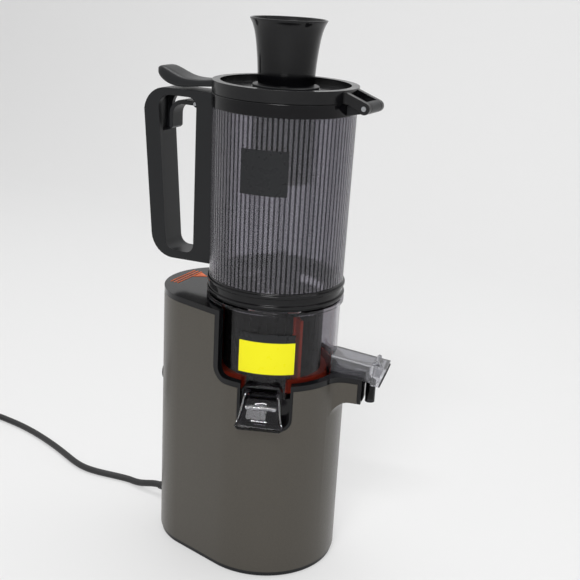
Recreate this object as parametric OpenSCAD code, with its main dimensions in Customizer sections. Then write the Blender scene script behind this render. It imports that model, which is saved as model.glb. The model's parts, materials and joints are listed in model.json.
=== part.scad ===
// Cold press juicer: a tall housing with an open front, a juice bowl in its cradle and a hopper above.
// Origin: on the table, under the axis of the bowl. +X points to the juice spout's side, -Y to the front.

/* [Bowl] */
// Outer radius of the juice bowl
bowl_r = 57; // [54:0.5:60]
// Wall thickness of the bowl
bowl_t = 2.5; // [2:0.25:3]
// Height of the bowl's top rim above the deck
rim_above_deck = 4.5; // [3:0.5:8]
// Thickness of the rings round the bowl's rim and the hopper's foot
ring_t = 3; // [2:0.25:3.5]
// How far the rings stand out from the wall
ring_out = 1.7; // [1:0.1:2]
// Inner radius of the hub tube in the bowl's floor
hub_r = 10; // [9:0.25:11]
// Height of the hub tube above the bowl's floor
hub_h = 12.7; // [10:0.1:15]

/* [Body] */
// Gap between the bowl and the wall behind it
cradle_gap = 2; // [1.5:0.25:3]
// Thickness of the cradle's wall
cradle_t = 3.3; // [2.5:0.1:4]
// Thickness of the painted skin
skin_t = 3; // [2:0.25:3.5]
// Radius of the body's rear end
rear_r = 54; // [50:0.5:58]
// Distance from the bowl's axis back to the centre of the rear end
rear_x = 50; // [46:0.5:60]
// Height of the painted skin's top edge
body_h = 236; // [225:1:260]
// Thickness of the black deck
deck_t = 5; // [4:0.5:7]
// Height at which the painted skin starts
skin_z = 4; // [3:0.5:6]
// X of the open front's left edge
cut_x = -24; // [-28:0.5:-20]
// Height of the open front's bottom edge
cut_z = 178; // [172:0.5:184]
// Corner radius of the open front
cut_round = 14; // [10:0.5:18]
// Width of the black rim along the open front
bead = 5; // [4:0.25:6]
// Depth of the bowl's seat below the open front's bottom edge
seat_drop = 10; // [8:0.5:12]
// Thickness of the floor under the bowl
floor_t = 3; // [2.5:0.25:4]

/* [Arm under the spout] */
// Direction of the arm and the spout, in degrees from +X
arm_a = 12; // [8:0.5:14]
// Reach of the painted arm from the bowl's axis
arm_x = 82; // [80:0.5:85]
// Width of the arm
arm_w = 40; // [38:0.5:44]
// Height of the arm's painted side, up to the open front's bottom edge
arm_h = 18; // [16:0.5:20]
// Radius under the arm where it leaves the body
arm_round = 13; // [8:0.5:15]
// Radius beside the arm where it leaves the body
arm_side_round = 16; // [10:0.5:17]
// Thickness of the arm's black end
arm_end_t = 3.5; // [3:0.5:5]
// Depth of the trough that the spout lies in
trough_d = 6.5; // [5.5:0.25:7]

/* [Pulp recess and chute] */
// Direction of the recess, in degrees from +X
recess_a = -67; // [-70:0.5:-64]
// Width of the recess
recess_w = 47; // [44:0.5:50]
// Height of the recess's bottom above the table
recess_z = 142; // [136:0.5:146]
// Corner radius of the recess
recess_round = 10; // [6:0.5:12]
// Direction of the chute, in degrees from +X
chute_a = -69.5; // [-70:0.5:-67]
// Width of the chute
chute_w = 35; // [30:0.5:36]
// Distance of the chute's lip from the bowl's axis
chute_reach = 76.5; // [74:0.5:78]
// Height of the chute's lip above the recess's bottom
chute_lip_z = 5.5; // [5:0.25:9]
// Wall thickness of the chute
chute_t = 2; // [1.5:0.25:2.5]
// Height of the chute's side walls
chute_wall = 9; // [6:0.5:11]

/* [Rear of the body] */
// Height of the finger grip's middle
grip_z = 194; // [185:1:200]
// Depth of the finger grip
grip_d = 4.5; // [3:0.5:6]
// Radius of the finger grip's hollow
grip_r = 28; // [24:1:34]
// Height of the control knob's axis
knob_z = 147; // [142:0.5:152]
// Radius of the control knob
knob_r = 11.5; // [10:0.25:13]
// How far the knob stands out from its bezel
knob_h = 6; // [5:0.5:8]
// Width of the bezel round the knob
bezel_w = 3; // [2:0.25:4]
// Y of the cord's outlet
cord_y = 15; // [14.5:0.25:15.5]
// Height of the cord's outlet
cord_z = 10; // [9.75:0.25:10.25]

/* [Base] */
// Thickness of the base plate
base_t = 4; // [3:0.5:5]
// Radius of the rubber feet
foot_r = 9; // [7:0.5:11]
// How far the feet stand below the base plate
foot_h = 1; // [0.75:0.25:1.5]
// Height of the rails that hold the control board
rail_h = 55; // [40:1:70]

/* [Motor] */
// Distance from the bowl's axis back to the motor's axis
motor_x = 45; // [43:0.5:47]
// Outer radius of the motor
motor_r = 27; // [25:0.5:28]
// Length of the motor
motor_h = 70; // [60:1:74]
// Wall thickness of the motor's can
motor_t = 2.5; // [2:0.25:3]
// Radius of the rotor
rotor_r = 19.5; // [17:0.5:20]
// Radius of the motor's shaft
motor_shaft_r = 3; // [2.5:0.25:3.5]
// Radius of the cooling fan
fan_r = 24; // [20:0.5:25]
// Number of fan blades
fan_blades = 9; // [5:1:12]

/* [Gears] */
// Gear module
gear_m = 1; // [0.95:0.01:1.02]
// Teeth of the motor's pinion and of the idler's small gear
pinion_n = 15; // [15:1:16]
// Teeth of the idler's large gear
wheel_n = 50; // [48:1:51]
// Teeth of the output gear
output_n = 55; // [53:1:56]
// Width of the gears
gear_w = 10; // [8:0.5:11]
// Backlash of each gear at its pitch circle
backlash = 0.12; // [0.08:0.01:0.2]
// Wall thickness of the gearbox
box_t = 3; // [2.5:0.25:3.5]
// Thickness of the gearbox's floor and cover
plate_t = 4; // [3.5:0.25:5]
// Height of the gearbox's inside
box_h = 32; // [31:0.5:34]
// Radius of the drive shaft
shaft_r = 6; // [5:0.25:6.5]
// Width across the flats of the drive shaft's hexagon
hex_w = 10; // [9:0.25:10.5]
// Length of the hexagon above the floor
hex_h = 20; // [16:0.5:22]

/* [Strainer and auger] */
// Outer radius of the strainer basket
strainer_r = 43; // [41:0.25:44]
// Wall thickness of the strainer
strainer_t = 1.5; // [1.25:0.25:2]
// Number of slots in the strainer
slots = 36; // [24:2:44]
// Width of each slot
slot_w = 1.2; // [0.8:0.1:1.6]
// Radius of the auger's flights
flight_r = 39.5; // [38:0.25:39.5]
// Radius of the auger's core at its bottom
core_r1 = 27; // [24:0.5:30]
// Radius of the auger's core at its top
core_r2 = 16; // [13:0.5:20]
// Height of the auger's cutter above the strainer
cutter_h = 40; // [30:1:46]

/* [Juice spout] */
// Width of the spout
spout_w = 23; // [21:0.5:25]
// Height of the spout
spout_h = 18.5; // [16:0.5:19.5]
// Wall thickness of the spout
spout_t = 2; // [1.5:0.25:2.5]
// Fall of the spout towards its end, in degrees
spout_tilt = 7.5; // [5:0.5:9]
// Reach of the spout's tube beyond the arm's end
spout_past = 5.5; // [4:0.5:6]
// Radius of the drip nozzle
nozzle_r = 4.3; // [4.2:0.1:4.8]
// Wall thickness of the drip nozzle
nozzle_t = 1; // [0.8:0.1:1.1]
// Length of the drip nozzle below the spout
nozzle_h = 19; // [12:0.5:21]
// How far the cap's top stands out past the tube
cap_out = 11; // [10.5:0.5:13]

/* [Hopper] */
// How much wider the hopper is than the bowl, at the foot
drum_step = 0.8; // [0.5:0.1:1.5]
// How much wider the drum is at its top than at its foot
drum_flare = 1.8; // [1:0.1:2.5]
// Wall thickness of the drum
drum_t = 2.5; // [2:0.25:3]
// Height of the hopper's foot
foot_ring_h = 16; // [14:0.5:20]
// Height of the clear drum
drum_h = 141.4; // [130:0.2:155]
// Height of the black band at the drum's top
band_h = 11; // [9:0.5:14]

/* [Lid] */
// Height of the lid's ring
lid_h = 10; // [8:0.5:12]
// Width of the lid's ring
lid_ring_w = 6.6; // [5:0.2:8]
// Depth of the dish inside the lid's ring
dish_d = 6; // [5:0.5:7]
// Thickness of the lid
lid_t = 2.5; // [2:0.25:3]
// Inner radius of the feed tube
tube_r = 25; // [24:0.25:26]
// Wall thickness of the feed tube
tube_t = 2.4; // [2:0.2:3]
// Length of the feed tube below the lid
tube_h = 70; // [60:1:74]
// Distance of the hinge pin from the drum's top edge
hinge_out = 16.4; // [14.5:0.2:18]
// Height of the hinge pin below the lid's underside
hinge_drop = 2.3; // [1.5:0.1:3]
// Radius of the hinge's knuckles
knuckle_r = 4.8; // [4:0.1:5.2]
// Radius of the hinge pin
pin_r = 2; // [1.5:0.1:2.4]
// Distance between the outer faces of the lid's hinge arms
hinge_w = 30; // [26:0.5:34]
// Reach of the thumb tab past the drum's top edge
tab_reach = 56; // [50:0.5:60]
// Width of the thumb tab
tab_w = 26; // [22:0.5:28]

/* [Plunger] */
// Radius of the plunger's body
plunger_r = 24.3; // [22.5:0.1:24.3]
// Radius of the waist above the lid
waist_r = 23.2; // [21:0.1:24]
// Radius of the plunger's flared rim
rim_r = 31.5; // [28:0.5:34]
// Height of the plunger above the lid
plunger_h = 50; // [45:0.5:60]
// Length of the plunger below the lid
plunger_d = 62; // [50:1:64]
// Wall thickness of the plunger
plunger_t = 2.2; // [1.8:0.1:2.6]

/* [Handle] */
// Width of the handle
handle_w = 26; // [24:0.5:30]
// Reach of the handle's top corner from the drum's axis
handle_x = 130; // [126:0.5:134]
// How much less the handle reaches out at its bottom
handle_lean = 9; // [4:0.5:12]
// Thickness of the grip
grip_t = 15; // [12:0.5:16]
// Width of the post beside the drum, from the axis
post_x = 77; // [74:0.5:78]
// Thickness of the handle's top bar
bar_t = 6; // [5:0.5:7]
// Height of the handle's bottom above the hopper's foot
handle_up = 0.4; // [0.3:0.1:1]
// Outer corner radius of the handle
handle_round = 22; // [18:0.5:24]

/* [Trigger] */
// Width of the trigger
trigger_w = 16; // [13:0.5:17]
// Thickness of the trigger's band
trigger_t = 3.6; // [3:0.2:4]
// Height of the trigger's hook
trigger_h = 24; // [20:0.5:28]

/* [Cord and plug] */
// Width of the mains cord
cord_d = 6.6; // [6.4:0.1:6.8]
// Middle radius of the coil of cord
coil_r = 36; // [35.5:0.1:36.5]
// Length of the plug's body
plug_l = 28; // [24:0.5:32]

/* [Clearances] */
// Gap between fitted pieces that stay together
fit_gap = 0.2; // [0.1:0.05:0.3]
// Gap between pieces that move past each other
move_gap = 0.3; // [0.3:0.05:0.5]
// Radial clearance of a shaft in its bearing
run_gap = 0.05; // [0.03:0.01:0.08]

/* [Hidden] */
$fn = 96;
over = 1;

// Colours
skin_c = "#5A554C";
gloss_c = "#17171A";
satin_c = "#2C2E30";
clear_c = "#6A6872";
metal_c = "#A9ABAE";
white_c = "#D8D8D2";
red_c = "#B8372A";
orange_c = "#E8784A";
yellow_c = "#F0E81A";
rubber_c = "#1E1E1E";
board_c = "#1F5A38";

// Body: radii from the bowl outwards, heights from the open front down and up
pocket_r = bowl_r + cradle_gap;
wall_r = pocket_r + cradle_t;
body_r = wall_r + fit_gap + skin_t;
tangent_a = acos((rear_r - body_r) / rear_x);
deck_z = body_h + deck_t;
floor_z = cut_z - seat_drop;
base_z = foot_h;
arm_top = cut_z;
arm_z = arm_top - arm_h;
strip_z = arm_top - 10;
// The arm's black top lies a touch below the rim beside it
arm_drop = 0.1;
rear_face = rear_x + rear_r;

// Drive train: two gear stages, the idler stands where both centre distances meet
box_top = floor_z - floor_t;
cover_z = box_top - plate_t;
box_z = cover_z - box_h;
box_floor = box_z - plate_t;
stage1 = gear_m * (pinion_n + wheel_n) / 2;
stage2 = gear_m * (pinion_n + output_n) / 2;
idler_x = -(motor_x * motor_x + stage2 * stage2 - stage1 * stage1) / (2 * motor_x);
idler_y = sqrt(stage2 * stage2 - idler_x * idler_x);
gear1_z = box_z + 4;
gear2_z = gear1_z + gear_w + 3;
mesh1_a = atan2(idler_y, idler_x + motor_x);
mesh2_a = atan2(-idler_y, -idler_x);
tip_gap = 1.5;
lining_t = 2.5;
out_box_r = gear_m * (output_n / 2 + 1) + tip_gap;
wheel_box_r = gear_m * (wheel_n / 2 + 1) + tip_gap;
end_bearing_r = 8;
motor_screw_out = end_bearing_r + 5;
motor_head_r = 2.8;
pinion_box_r = max(gear_m * (pinion_n / 2 + 1) + tip_gap, motor_screw_out + motor_head_r + fit_gap);
bearing_w = 5;
lug_r = 5;
lug_h = 12;
gear_screw_r = 1.8;
lug_out = out_box_r + box_t + lug_r - 1;
lugs = [[lug_out * cos(-60), lug_out * sin(-60)], [lug_out * cos(15), lug_out * sin(15)],
    [-motor_x + (pinion_box_r + box_t + lug_r - 1) * cos(-125), (pinion_box_r + box_t + lug_r - 1) * sin(-125)],
    [idler_x + (wheel_box_r + box_t + lug_r - 1) * cos(62), idler_y + (wheel_box_r + box_t + lug_r - 1) * sin(62)]];

// Motor, hung under the gearbox
can_z = box_floor - motor_h;
cap_t = 3;
fan_h = 9;
fan_z = can_z - fan_h - 3;

// Bowl and what stands in it
bowl_z = floor_z + move_gap;
bowl_floor = bowl_z + bowl_t + 0.5;
bowl_top = deck_z + rim_above_deck;
ring_r = bowl_r + drum_step + ring_out;
stem_r = hub_r - move_gap - 0.1;
auger_z = bowl_floor + hub_h + 1;
strainer_z = bowl_floor + fit_gap;
strainer_top = bowl_top - ring_t;
spout_z = arm_top + bead - (trough_d - 3);
spout_end = arm_x + arm_end_t + spout_past;
cap_lean = cap_out - 7;
cap_pin_r = 0.9;
cap_hinge_x = spout_end + 1.5;
cap_hinge_z = spout_z + spout_h + 2.2;
cap_knuckle_r = 1.9;
nozzle_x = arm_x + arm_end_t + nozzle_r + 0.5;

// Hopper
foot_z = bowl_top + move_gap;
drum_z = foot_z + foot_ring_h;
drum_top = drum_z + drum_h;
drum_r1 = bowl_r + drum_step;
drum_r2 = drum_r1 + drum_flare;
band_top = drum_top + band_h;
band_r = drum_r2 + 0.6;
throat_r = flight_r + 2.5;

// Lid, hinge and plunger
lid_z = band_top + move_gap;
lid_top = lid_z + lid_h;
dish_z = lid_top - dish_d;
hinge_x = drum_r2 + hinge_out;
hinge_z = lid_z - hinge_drop;
tube_z = lid_z - tube_h;
stop_z = dish_z + move_gap;
plunger_top = lid_top + plunger_h;

// Handle and trigger
handle_z = drum_z + handle_up;
handle_top = band_top - 4;
window_x = handle_x - grip_t;
window_z = handle_z + 6;
window_top = handle_top - bar_t;
pivot_x = -(post_x + 3);
pivot_z = window_top - 5.5;
trigger_pin_r = 1.5;
trigger_slot = trigger_w / 2 + 0.4;
hook_x = -(window_x - 8);
spring_y = trigger_w / 2 - 3.6;

// Knob and cord outlet
bezel_x = rear_face + 1.2;
knob_stem_r = 3;
gland_r = 5;
relief_l = 22;
gland_x = -(rear_face + 1);
gland_in = 12.6;

// Cord: the route on the table, the outlet first, and the short tail from the coil to the plug
cord_lay = 3.4;
coil_c = [-430, 12];
coil_touch = coil_r + cord_d + cord_d / 2 * cos(22.5) + 0.02;
cord_route = [[-127, 15, 10], [-130, 15, 10], [-135, 15, 9.2], [-142, 15, 7.4], [-150, 15.5, 5.2], [-158, 16.5, 3.8],
    [-166, 17.5, 3.4], [-178, 16.5, 3.4], [-192, 14.5, 3.4], [-206, 13, 3.4], [-220, 13.5, 3.4], [-234, 17, 3.4],
    [-250, 23.5, 3.4], [-268, 31, 3.4], [-288, 38.5, 3.4], [-310, 45.5, 3.4], [-334, 51.5, 3.4], [-358, 55.3, 3.4],
    [-382, 57.2, 3.4], [-406, coil_c[1] + coil_touch, 3.4], [coil_c[0], coil_c[1] + coil_touch, 3.4]];
tail_route = [[coil_c[0] - coil_touch, coil_c[1], 3.4], [coil_c[0] - coil_touch, coil_c[1] - 17, 3.4],
    [coil_c[0] - coil_touch, coil_c[1] - 34, 3.4]];
plug_w = 20;
plug_t = 14;
blade_l = 17;
blade_w = 6.3;
blade_t = 1.5;
blade_gap = 12.7;

// ---- helpers ----

// Points of an arc, from angle a0 to a1
function arc(cx, cy, r, a0, a1, n = 10) =
    [for (i = [0:n]) [cx + r * cos(a0 + (a1 - a0) * i / n), cy + r * sin(a0 + (a1 - a0) * i / n)]];

module up(z) {
    translate([0, 0, z]) children();
}

// Draws an XZ outline and extrudes it along Y
module along_y(y0, y1) {
    translate([0, y1, 0]) rotate([90, 0, 0]) linear_extrude(y1 - y0) children();
}

// Draws a YZ outline and extrudes it along X
module along_x(x0, x1) {
    translate([x0, 0, 0]) rotate([90, 0, 90]) linear_extrude(x1 - x0) children();
}

module tube(r_out, r_in, z0, z1) {
    up(z0) difference() {
        cylinder(r = r_out, h = z1 - z0);
        up(-over) cylinder(r = r_in, h = z1 - z0 + 2 * over);
    }
}

module box(x0, x1, y0, y1, z0, z1) {
    translate([x0, y0, z0]) cube([x1 - x0, y1 - y0, z1 - z0]);
}

// Two circles joined by their outer tangents
module link2d(c1, r1, c2, r2) {
    d = norm(c2 - c1);
    a = atan2(c2[1] - c1[1], c2[0] - c1[0]);
    t = acos((r1 - r2) / d);
    translate(c1) circle(r = r1);
    translate(c2) circle(r = r2);
    sink = 0.02;
    polygon([c1 + (r1 - sink) * [cos(a + t), sin(a + t)], c2 + (r2 - sink) * [cos(a + t), sin(a + t)],
        c2 + (r2 - sink) * [cos(a - t), sin(a - t)], c1 + (r1 - sink) * [cos(a - t), sin(a - t)]]);
}

// The body's outline, seen from above, drawn inwards by inset
module body2d(inset = 0) {
    link2d([0, 0], body_r - inset, [-rear_x, 0], rear_r - inset);
}

module body_solid(inset, z0, z1) {
    up(z0) linear_extrude(z1 - z0) body2d(inset);
}

// Outline in XZ of the open front, drawn inwards by inset
module front_cut2d(inset) {
    x0 = cut_x + inset;
    z0 = cut_z + inset;
    r = cut_round - inset;
    top = deck_z + 60;
    polygon(concat([[x0, top]], arc(x0 + r, z0 + r, r, 180, 270, 8),
        [[arm_x + 60, z0], [arm_x + 60, top]]));
}

module front_cut(inset) {
    along_y(-100, 100) front_cut2d(inset);
}

// The pulp recess, drawn inwards by inset, from radius r0 outwards
module recess_cut(inset, r0) {
    w = recess_w / 2 - inset;
    r = recess_round - inset / 2;
    z0 = recess_z + inset;
    rotate([0, 0, recess_a]) along_x(r0, body_r + 20)
        polygon(concat([[-w, cut_z + 30]], arc(-w + r, z0 + r, r, 180, 270, 6),
            arc(w - r, z0 + r, r, 270, 360, 6), [[w, cut_z + 30]]));
}

module at_arm() {
    rotate([0, 0, arm_a]) children();
}

// Turns along the arm and tilts with the spout's fall about its start at the bowl's wall
module at_spout() {
    at_arm() translate([bowl_r, 0, spout_z]) rotate([0, spout_tilt, 0]) translate([-bowl_r, 0, -spout_z]) children();
}

// The arm seen from above, with a round at each side, drawn inwards by inset, out to x1
module arm_plan2d(inset, x1) {
    reach = body_r + arm_side_round;
    y_mid = arm_w / 2 + arm_side_round;
    x_mid = sqrt(reach * reach - y_mid * y_mid);
    y = arm_w / 2 - inset;
    k = (body_r - inset) / reach;
    translate([0, -y]) square([x1, 2 * y]);
    for (m = [0, 1]) mirror([0, m]) difference() {
        polygon([[0, 0], [x_mid * k, y_mid * k], [x_mid, y_mid], [x_mid, y - over], [x_mid, 0]]);
        translate([x_mid, y_mid]) circle(r = arm_side_round + inset);
    }
}

// The arm's underside: a round off the body, then level
module arm_solid(inset, x1, top) {
    z0 = arm_z - arm_round;
    at_arm() intersection() {
        up(z0) linear_extrude(top - z0) arm_plan2d(inset, x1);
        rotate_extrude() polygon(concat([[0, z0]], arc(body_r + arm_round, z0, arm_round + inset, 180, 90, 8),
            [[arm_x + 60, arm_z + inset], [arm_x + 60, top + over], [0, top + over]]));
    }
}

module grip_cut(r) {
    translate([-(rear_face + grip_r - grip_d), 0, grip_z]) rotate([90, 0, 0])
        cylinder(r = r, h = 120, center = true);
}

// ---- base ----

module foot_places() {
    for (p = [[0, 0], [body_r - 22, 26], [body_r - 22, -26], [-rear_x - 20, 26], [-rear_x - 20, -26]])
        translate(p) children();
}

module screw_places() {
    for (p = [[10, 48], [10, -48], [-rear_x - 6, 42], [-rear_x - 6, -42]])
        translate(p) children();
}

rail_x = -(rear_x + 34);
board_w = 46;
board_t = 1.6;
boss_r = 4.5;
base_screw_r = 1.8;

module base_plate() {
    color(rubber_c) difference() {
        union() {
            body_solid(1.2, base_z, base_z + base_t);
            difference() {
                body_solid(skin_t + fit_gap, base_z + base_t - over, base_z + base_t + 8);
                body_solid(skin_t + fit_gap + 2, base_z, base_z + base_t + 9);
                box(-rear_face - over, -rear_x, cord_y - 10, cord_y + 10, base_z + base_t, base_z + base_t + 9);
            }
            screw_places() up(base_z + over) cylinder(r = boss_r, h = base_t + 6);
            for (s = [-1, 1])
                translate([rail_x - 3, s * (board_w / 2 + 0.5) - 3, base_z + over]) cube([6, 6, base_t + rail_h]);
        }
        foot_places() up(base_z - over) cylinder(r = foot_r + fit_gap, h = 2 + over);
        screw_places() up(base_z - over) cylinder(r = base_screw_r + fit_gap, h = base_t + 9);
        screw_places() up(base_z - over) cylinder(r = 3.6, h = 2.2 + over);
        box(rail_x - board_t / 2 - fit_gap, rail_x + board_t / 2 + fit_gap, -board_w / 2 - fit_gap,
            board_w / 2 + fit_gap, base_z + base_t + 3, base_z + base_t + rail_h + 9);
        for (x = [-21:6:21]) box(x - motor_x, x + 3 - motor_x, -18, 18, base_z - over, base_z + base_t + over);
    }
}

module rubber_feet() {
    color(rubber_c) foot_places() cylinder(r = foot_r, h = foot_h + 2);
}

module base_screws() {
    color(metal_c) screw_places() {
        up(base_z + 0.2) cylinder(r = 3.3, h = 2);
        up(base_z + 1) cylinder(r = base_screw_r, h = base_t + 4);
    }
}

// ---- body ----

module body_shell() {
    color(skin_c) difference() {
        union() {
            difference() {
                body_solid(0, skin_z + 1.2, body_h);
                body_solid(skin_t, skin_z, body_h + over);
            }
            intersection() {
                body_solid(1, grip_z - grip_r, grip_z + grip_r);
                grip_cut(grip_r + skin_t);
            }
            difference() {
                arm_solid(0, arm_x, arm_top);
                body_solid(skin_t, arm_z - 30, arm_top + over);
            }
        }
        arm_solid(skin_t, arm_x + over, arm_top + over);
        front_cut(0);
        recess_cut(0, 30);
        grip_cut(grip_r);
        translate([-rear_face - 5, 0, knob_z]) rotate([0, 90, 0])
            cylinder(r = knob_r + bezel_w + fit_gap, h = 20);
        translate([-rear_face - 5, cord_y, cord_z]) rotate([0, 90, 0]) cylinder(r = gland_r + fit_gap, h = 20);
    }
}

// Rim of the open front, flush with the painted skin
module front_rim() {
    intersection() {
        difference() {
            body_solid(0, floor_z, deck_z - over);
            up(floor_z - over) cylinder(r = pocket_r, h = deck_z);
        }
        difference() {
            front_cut(fit_gap);
            front_cut(bead);
        }
    }
}

// Black top and end of the arm
module arm_top_part() {
    y = arm_w / 2;
    y_in = y - skin_t - fit_gap;
    at_arm() {
        box(pocket_r - 2, arm_x + over, -y_in, y_in, strip_z, arm_top + over);
        up(arm_top + fit_gap + arm_drop) linear_extrude(bead - fit_gap - 2 * arm_drop) arm_plan2d(0, arm_x + arm_end_t);
        box(arm_x + fit_gap, arm_x + arm_end_t, -y, y, arm_z, arm_top + bead - arm_drop);
    }
}

// Lining of the pulp recess
module recess_lining() {
    intersection() {
        body_solid(0, recess_z + fit_gap, cut_z + bead);
        recess_cut(fit_gap, pocket_r - 12);
    }
}

module cradle() {
    color(gloss_c) difference() {
        union() {
            difference() {
                union() {
                    body_solid(0, body_h + 0.1, deck_z);
                    up(floor_z - floor_t) cylinder(r = wall_r, h = deck_z - over - floor_z + floor_t);
                }
                front_cut(bead);
            }
            front_rim();
            arm_top_part();
            recess_lining();
        }
        up(floor_z) cylinder(r = pocket_r, h = deck_z);
        recess_cut(lining_t, pocket_r - 9);
        at_spout() box(pocket_r - 15, arm_x + 20, -spout_w / 2 - 1.5, spout_w / 2 + 1.5, spout_z - 3, deck_z);
        up(floor_z - floor_t - over) cylinder(r = shaft_r + 4, h = floor_t + 2 * over);
        for (p = lugs) translate([p[0], p[1], floor_z - floor_t - over])
            cylinder(r = gear_screw_r + fit_gap, h = over + 2.2);
    }
}

module lock_marks() {
    mark_t = 0.3;
    color(orange_c) {
        for (i = [0:2]) box(-(rear_x + 46 - 3.5 * i) + 0.8, -(rear_x + 46 - 3.5 * i) + 2, -20, 20, deck_z, deck_z + mark_t);
        up(deck_z) linear_extrude(mark_t) polygon([[-(rear_x + 36), 4], [-(rear_x + 36), 18], [-(rear_x + 26), 11]]);
    }
}

// ---- drive train ----

// Outline of an involute gear with the first tooth on +X
module gear2d(n) {
    r = gear_m * n / 2;
    rb = r * cos(20);
    ra = r + 0.94 * gear_m;
    rf = r - 1.25 * gear_m;
    r0 = max(rb, rf);
    rooted = rf < rb - 0.05;
    inv20 = tan(20) * 180 / PI - 20;
    half = 90 / n - backlash / (2 * r) * 180 / PI;
    steps = 3;
    function flank_a(q) = half + inv20 - (tan(acos(rb / q)) * 180 / PI - acos(rb / q));
    radii = [for (i = [0:steps]) r0 + 0.001 + (ra - r0 - 0.001) * i / steps];
    pts = [for (k = [0:n - 1]) let (a = 360 * k / n) each concat(
        rooted ? [rf * [cos(a - flank_a(radii[0])), sin(a - flank_a(radii[0]))]] : [],
        [for (q = radii) q * [cos(a - flank_a(q)), sin(a - flank_a(q))]],
        [for (i = [steps:-1:0]) radii[i] * [cos(a + flank_a(radii[i])), sin(a + flank_a(radii[i]))]],
        rooted ? [rf * [cos(a + flank_a(radii[0])), sin(a + flank_a(radii[0]))]] : [])];
    polygon(pts);
}

module gear(n, w, bore, turn) {
    rotate([0, 0, turn]) difference() {
        linear_extrude(w) gear2d(n);
        up(-over) cylinder(r = bore, h = w + 2 * over);
    }
}

module at_motor() {
    translate([-motor_x, 0, 0]) children();
}

module at_idler() {
    translate([idler_x, idler_y, 0]) children();
}

module gearbox2d(grow) {
    link2d([0, 0], out_box_r + grow, [idler_x, idler_y], wheel_box_r + grow);
    link2d([idler_x, idler_y], wheel_box_r + grow, [-motor_x, 0], pinion_box_r + grow);
    link2d([0, 0], out_box_r + grow, [-motor_x, 0], pinion_box_r + grow);
}

module gearbox_housing() {
    color(metal_c) difference() {
        union() {
            up(box_floor) linear_extrude(cover_z - box_floor) gearbox2d(box_t);
            at_motor() up(box_floor) cylinder(r = motor_r, h = plate_t);
            for (p = lugs) translate([p[0], p[1], cover_z - lug_h]) cylinder(r = lug_r, h = lug_h);
        }
        up(box_z) linear_extrude(box_h + over) gearbox2d(0);
        up(box_z - bearing_w + over) cylinder(r = 2 * shaft_r + fit_gap / 2, h = bearing_w);
        up(box_floor - over) cylinder(r = shaft_r + 2, h = plate_t);
        at_idler() up(box_floor + 1) cylinder(r = 6 + fit_gap / 2, h = bearing_w);
        at_motor() up(box_floor - over) cylinder(r = end_bearing_r, h = plate_t + 2 * over);
        motor_screw_places() up(box_floor - over) cylinder(r = 1.7, h = plate_t + 2 * over);
        for (p = lugs) translate([p[0], p[1], cover_z - lug_h - over])
            cylinder(r = gear_screw_r + fit_gap, h = lug_h + 2 * over);
    }
}

module gearbox_cover() {
    color(metal_c) difference() {
        union() {
            up(cover_z) linear_extrude(plate_t) gearbox2d(box_t);
            for (p = lugs) translate([p[0], p[1], cover_z]) cylinder(r = lug_r, h = plate_t);
        }
        up(cover_z - over) cylinder(r = 2 * shaft_r + fit_gap / 2, h = plate_t + 2 * over);
        at_idler() up(cover_z - over) cylinder(r = 6 + fit_gap / 2, h = plate_t);
        for (p = lugs) translate([p[0], p[1], cover_z - over])
            cylinder(r = gear_screw_r + fit_gap, h = plate_t + 2 * over);
    }
}

module gearbox_screws() {
    color(metal_c) for (p = lugs) translate([p[0], p[1], 0]) {
        up(cover_z - lug_h - 3) cylinder(r = 3.2, h = 3);
        up(cover_z - lug_h - 2) cylinder(r = gear_screw_r, h = lug_h + plate_t + 4);
    }
}

module motor_screw_places() {
    for (s = [-1, 1]) translate([-motor_x, s * motor_screw_out, 0]) children();
}

module motor_can() {
    color(metal_c) at_motor() difference() {
        up(can_z) cylinder(r = motor_r, h = motor_h);
        up(can_z + cap_t) cylinder(r = motor_r - motor_t, h = motor_h - 2 * cap_t);
        up(can_z - over) cylinder(r = end_bearing_r + fit_gap / 2, h = motor_h + 2 * over);
        for (a = [45:90:315]) rotate([0, 0, a]) translate([motor_r * 0.62, 0, can_z - over]) cylinder(r = 3.5, h = cap_t + 2 * over);
        for (s = [-1, 1]) translate([0, s * motor_screw_out, box_floor - cap_t - over])
            cylinder(r = 1.7, h = cap_t + 2 * over);
    }
}

module motor_magnets() {
    color(gloss_c) at_motor() difference() {
        tube(motor_r - motor_t - fit_gap / 2, rotor_r + 1, can_z + 14, box_floor - 16);
        box(-motor_r, motor_r, -6, 6, can_z, box_floor);
    }
}

module motor_screws() {
    color(metal_c) motor_screw_places() {
        up(box_z) cylinder(r = motor_head_r, h = 1.8);
        up(box_floor - cap_t - 2) cylinder(r = 1.5, h = plate_t + cap_t + 3);
    }
}

module motor_rotor() {
    color(metal_c) at_motor() {
        up(fan_z - 1) cylinder(r = motor_shaft_r, h = gear1_z + gear_w + 1 - fan_z);
        difference() {
            up(can_z + 16) cylinder(r = rotor_r, h = motor_h - 34);
            for (a = [0:30:330]) rotate([0, 0, a]) translate([rotor_r - 1.5, -1, can_z + 15]) cube([3, 2, motor_h]);
        }
        up(box_floor - 16) cylinder(r = 8, h = 8);
    }
}

module drive_pinion() {
    color(metal_c) at_motor() up(gear1_z) gear(pinion_n, gear_w, motor_shaft_r + 0.02, mesh1_a);
}

module cooling_fan() {
    color(gloss_c) at_motor() up(fan_z) difference() {
        union() {
            cylinder(r = 7, h = fan_h);
            cylinder(r = fan_r, h = 1.5);
            for (i = [0:fan_blades - 1]) rotate([0, 0, 360 * i / fan_blades])
                translate([6, -0.75, 0]) cube([fan_r - 7, 1.5, fan_h]);
        }
        up(-over) cylinder(r = motor_shaft_r + 0.02, h = fan_h + 2 * over);
    }
}

module idler_shaft() {
    color(metal_c) at_idler() up(box_floor + 1.5) cylinder(r = motor_shaft_r, h = plate_t + box_h + plate_t - 3);
}

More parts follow.
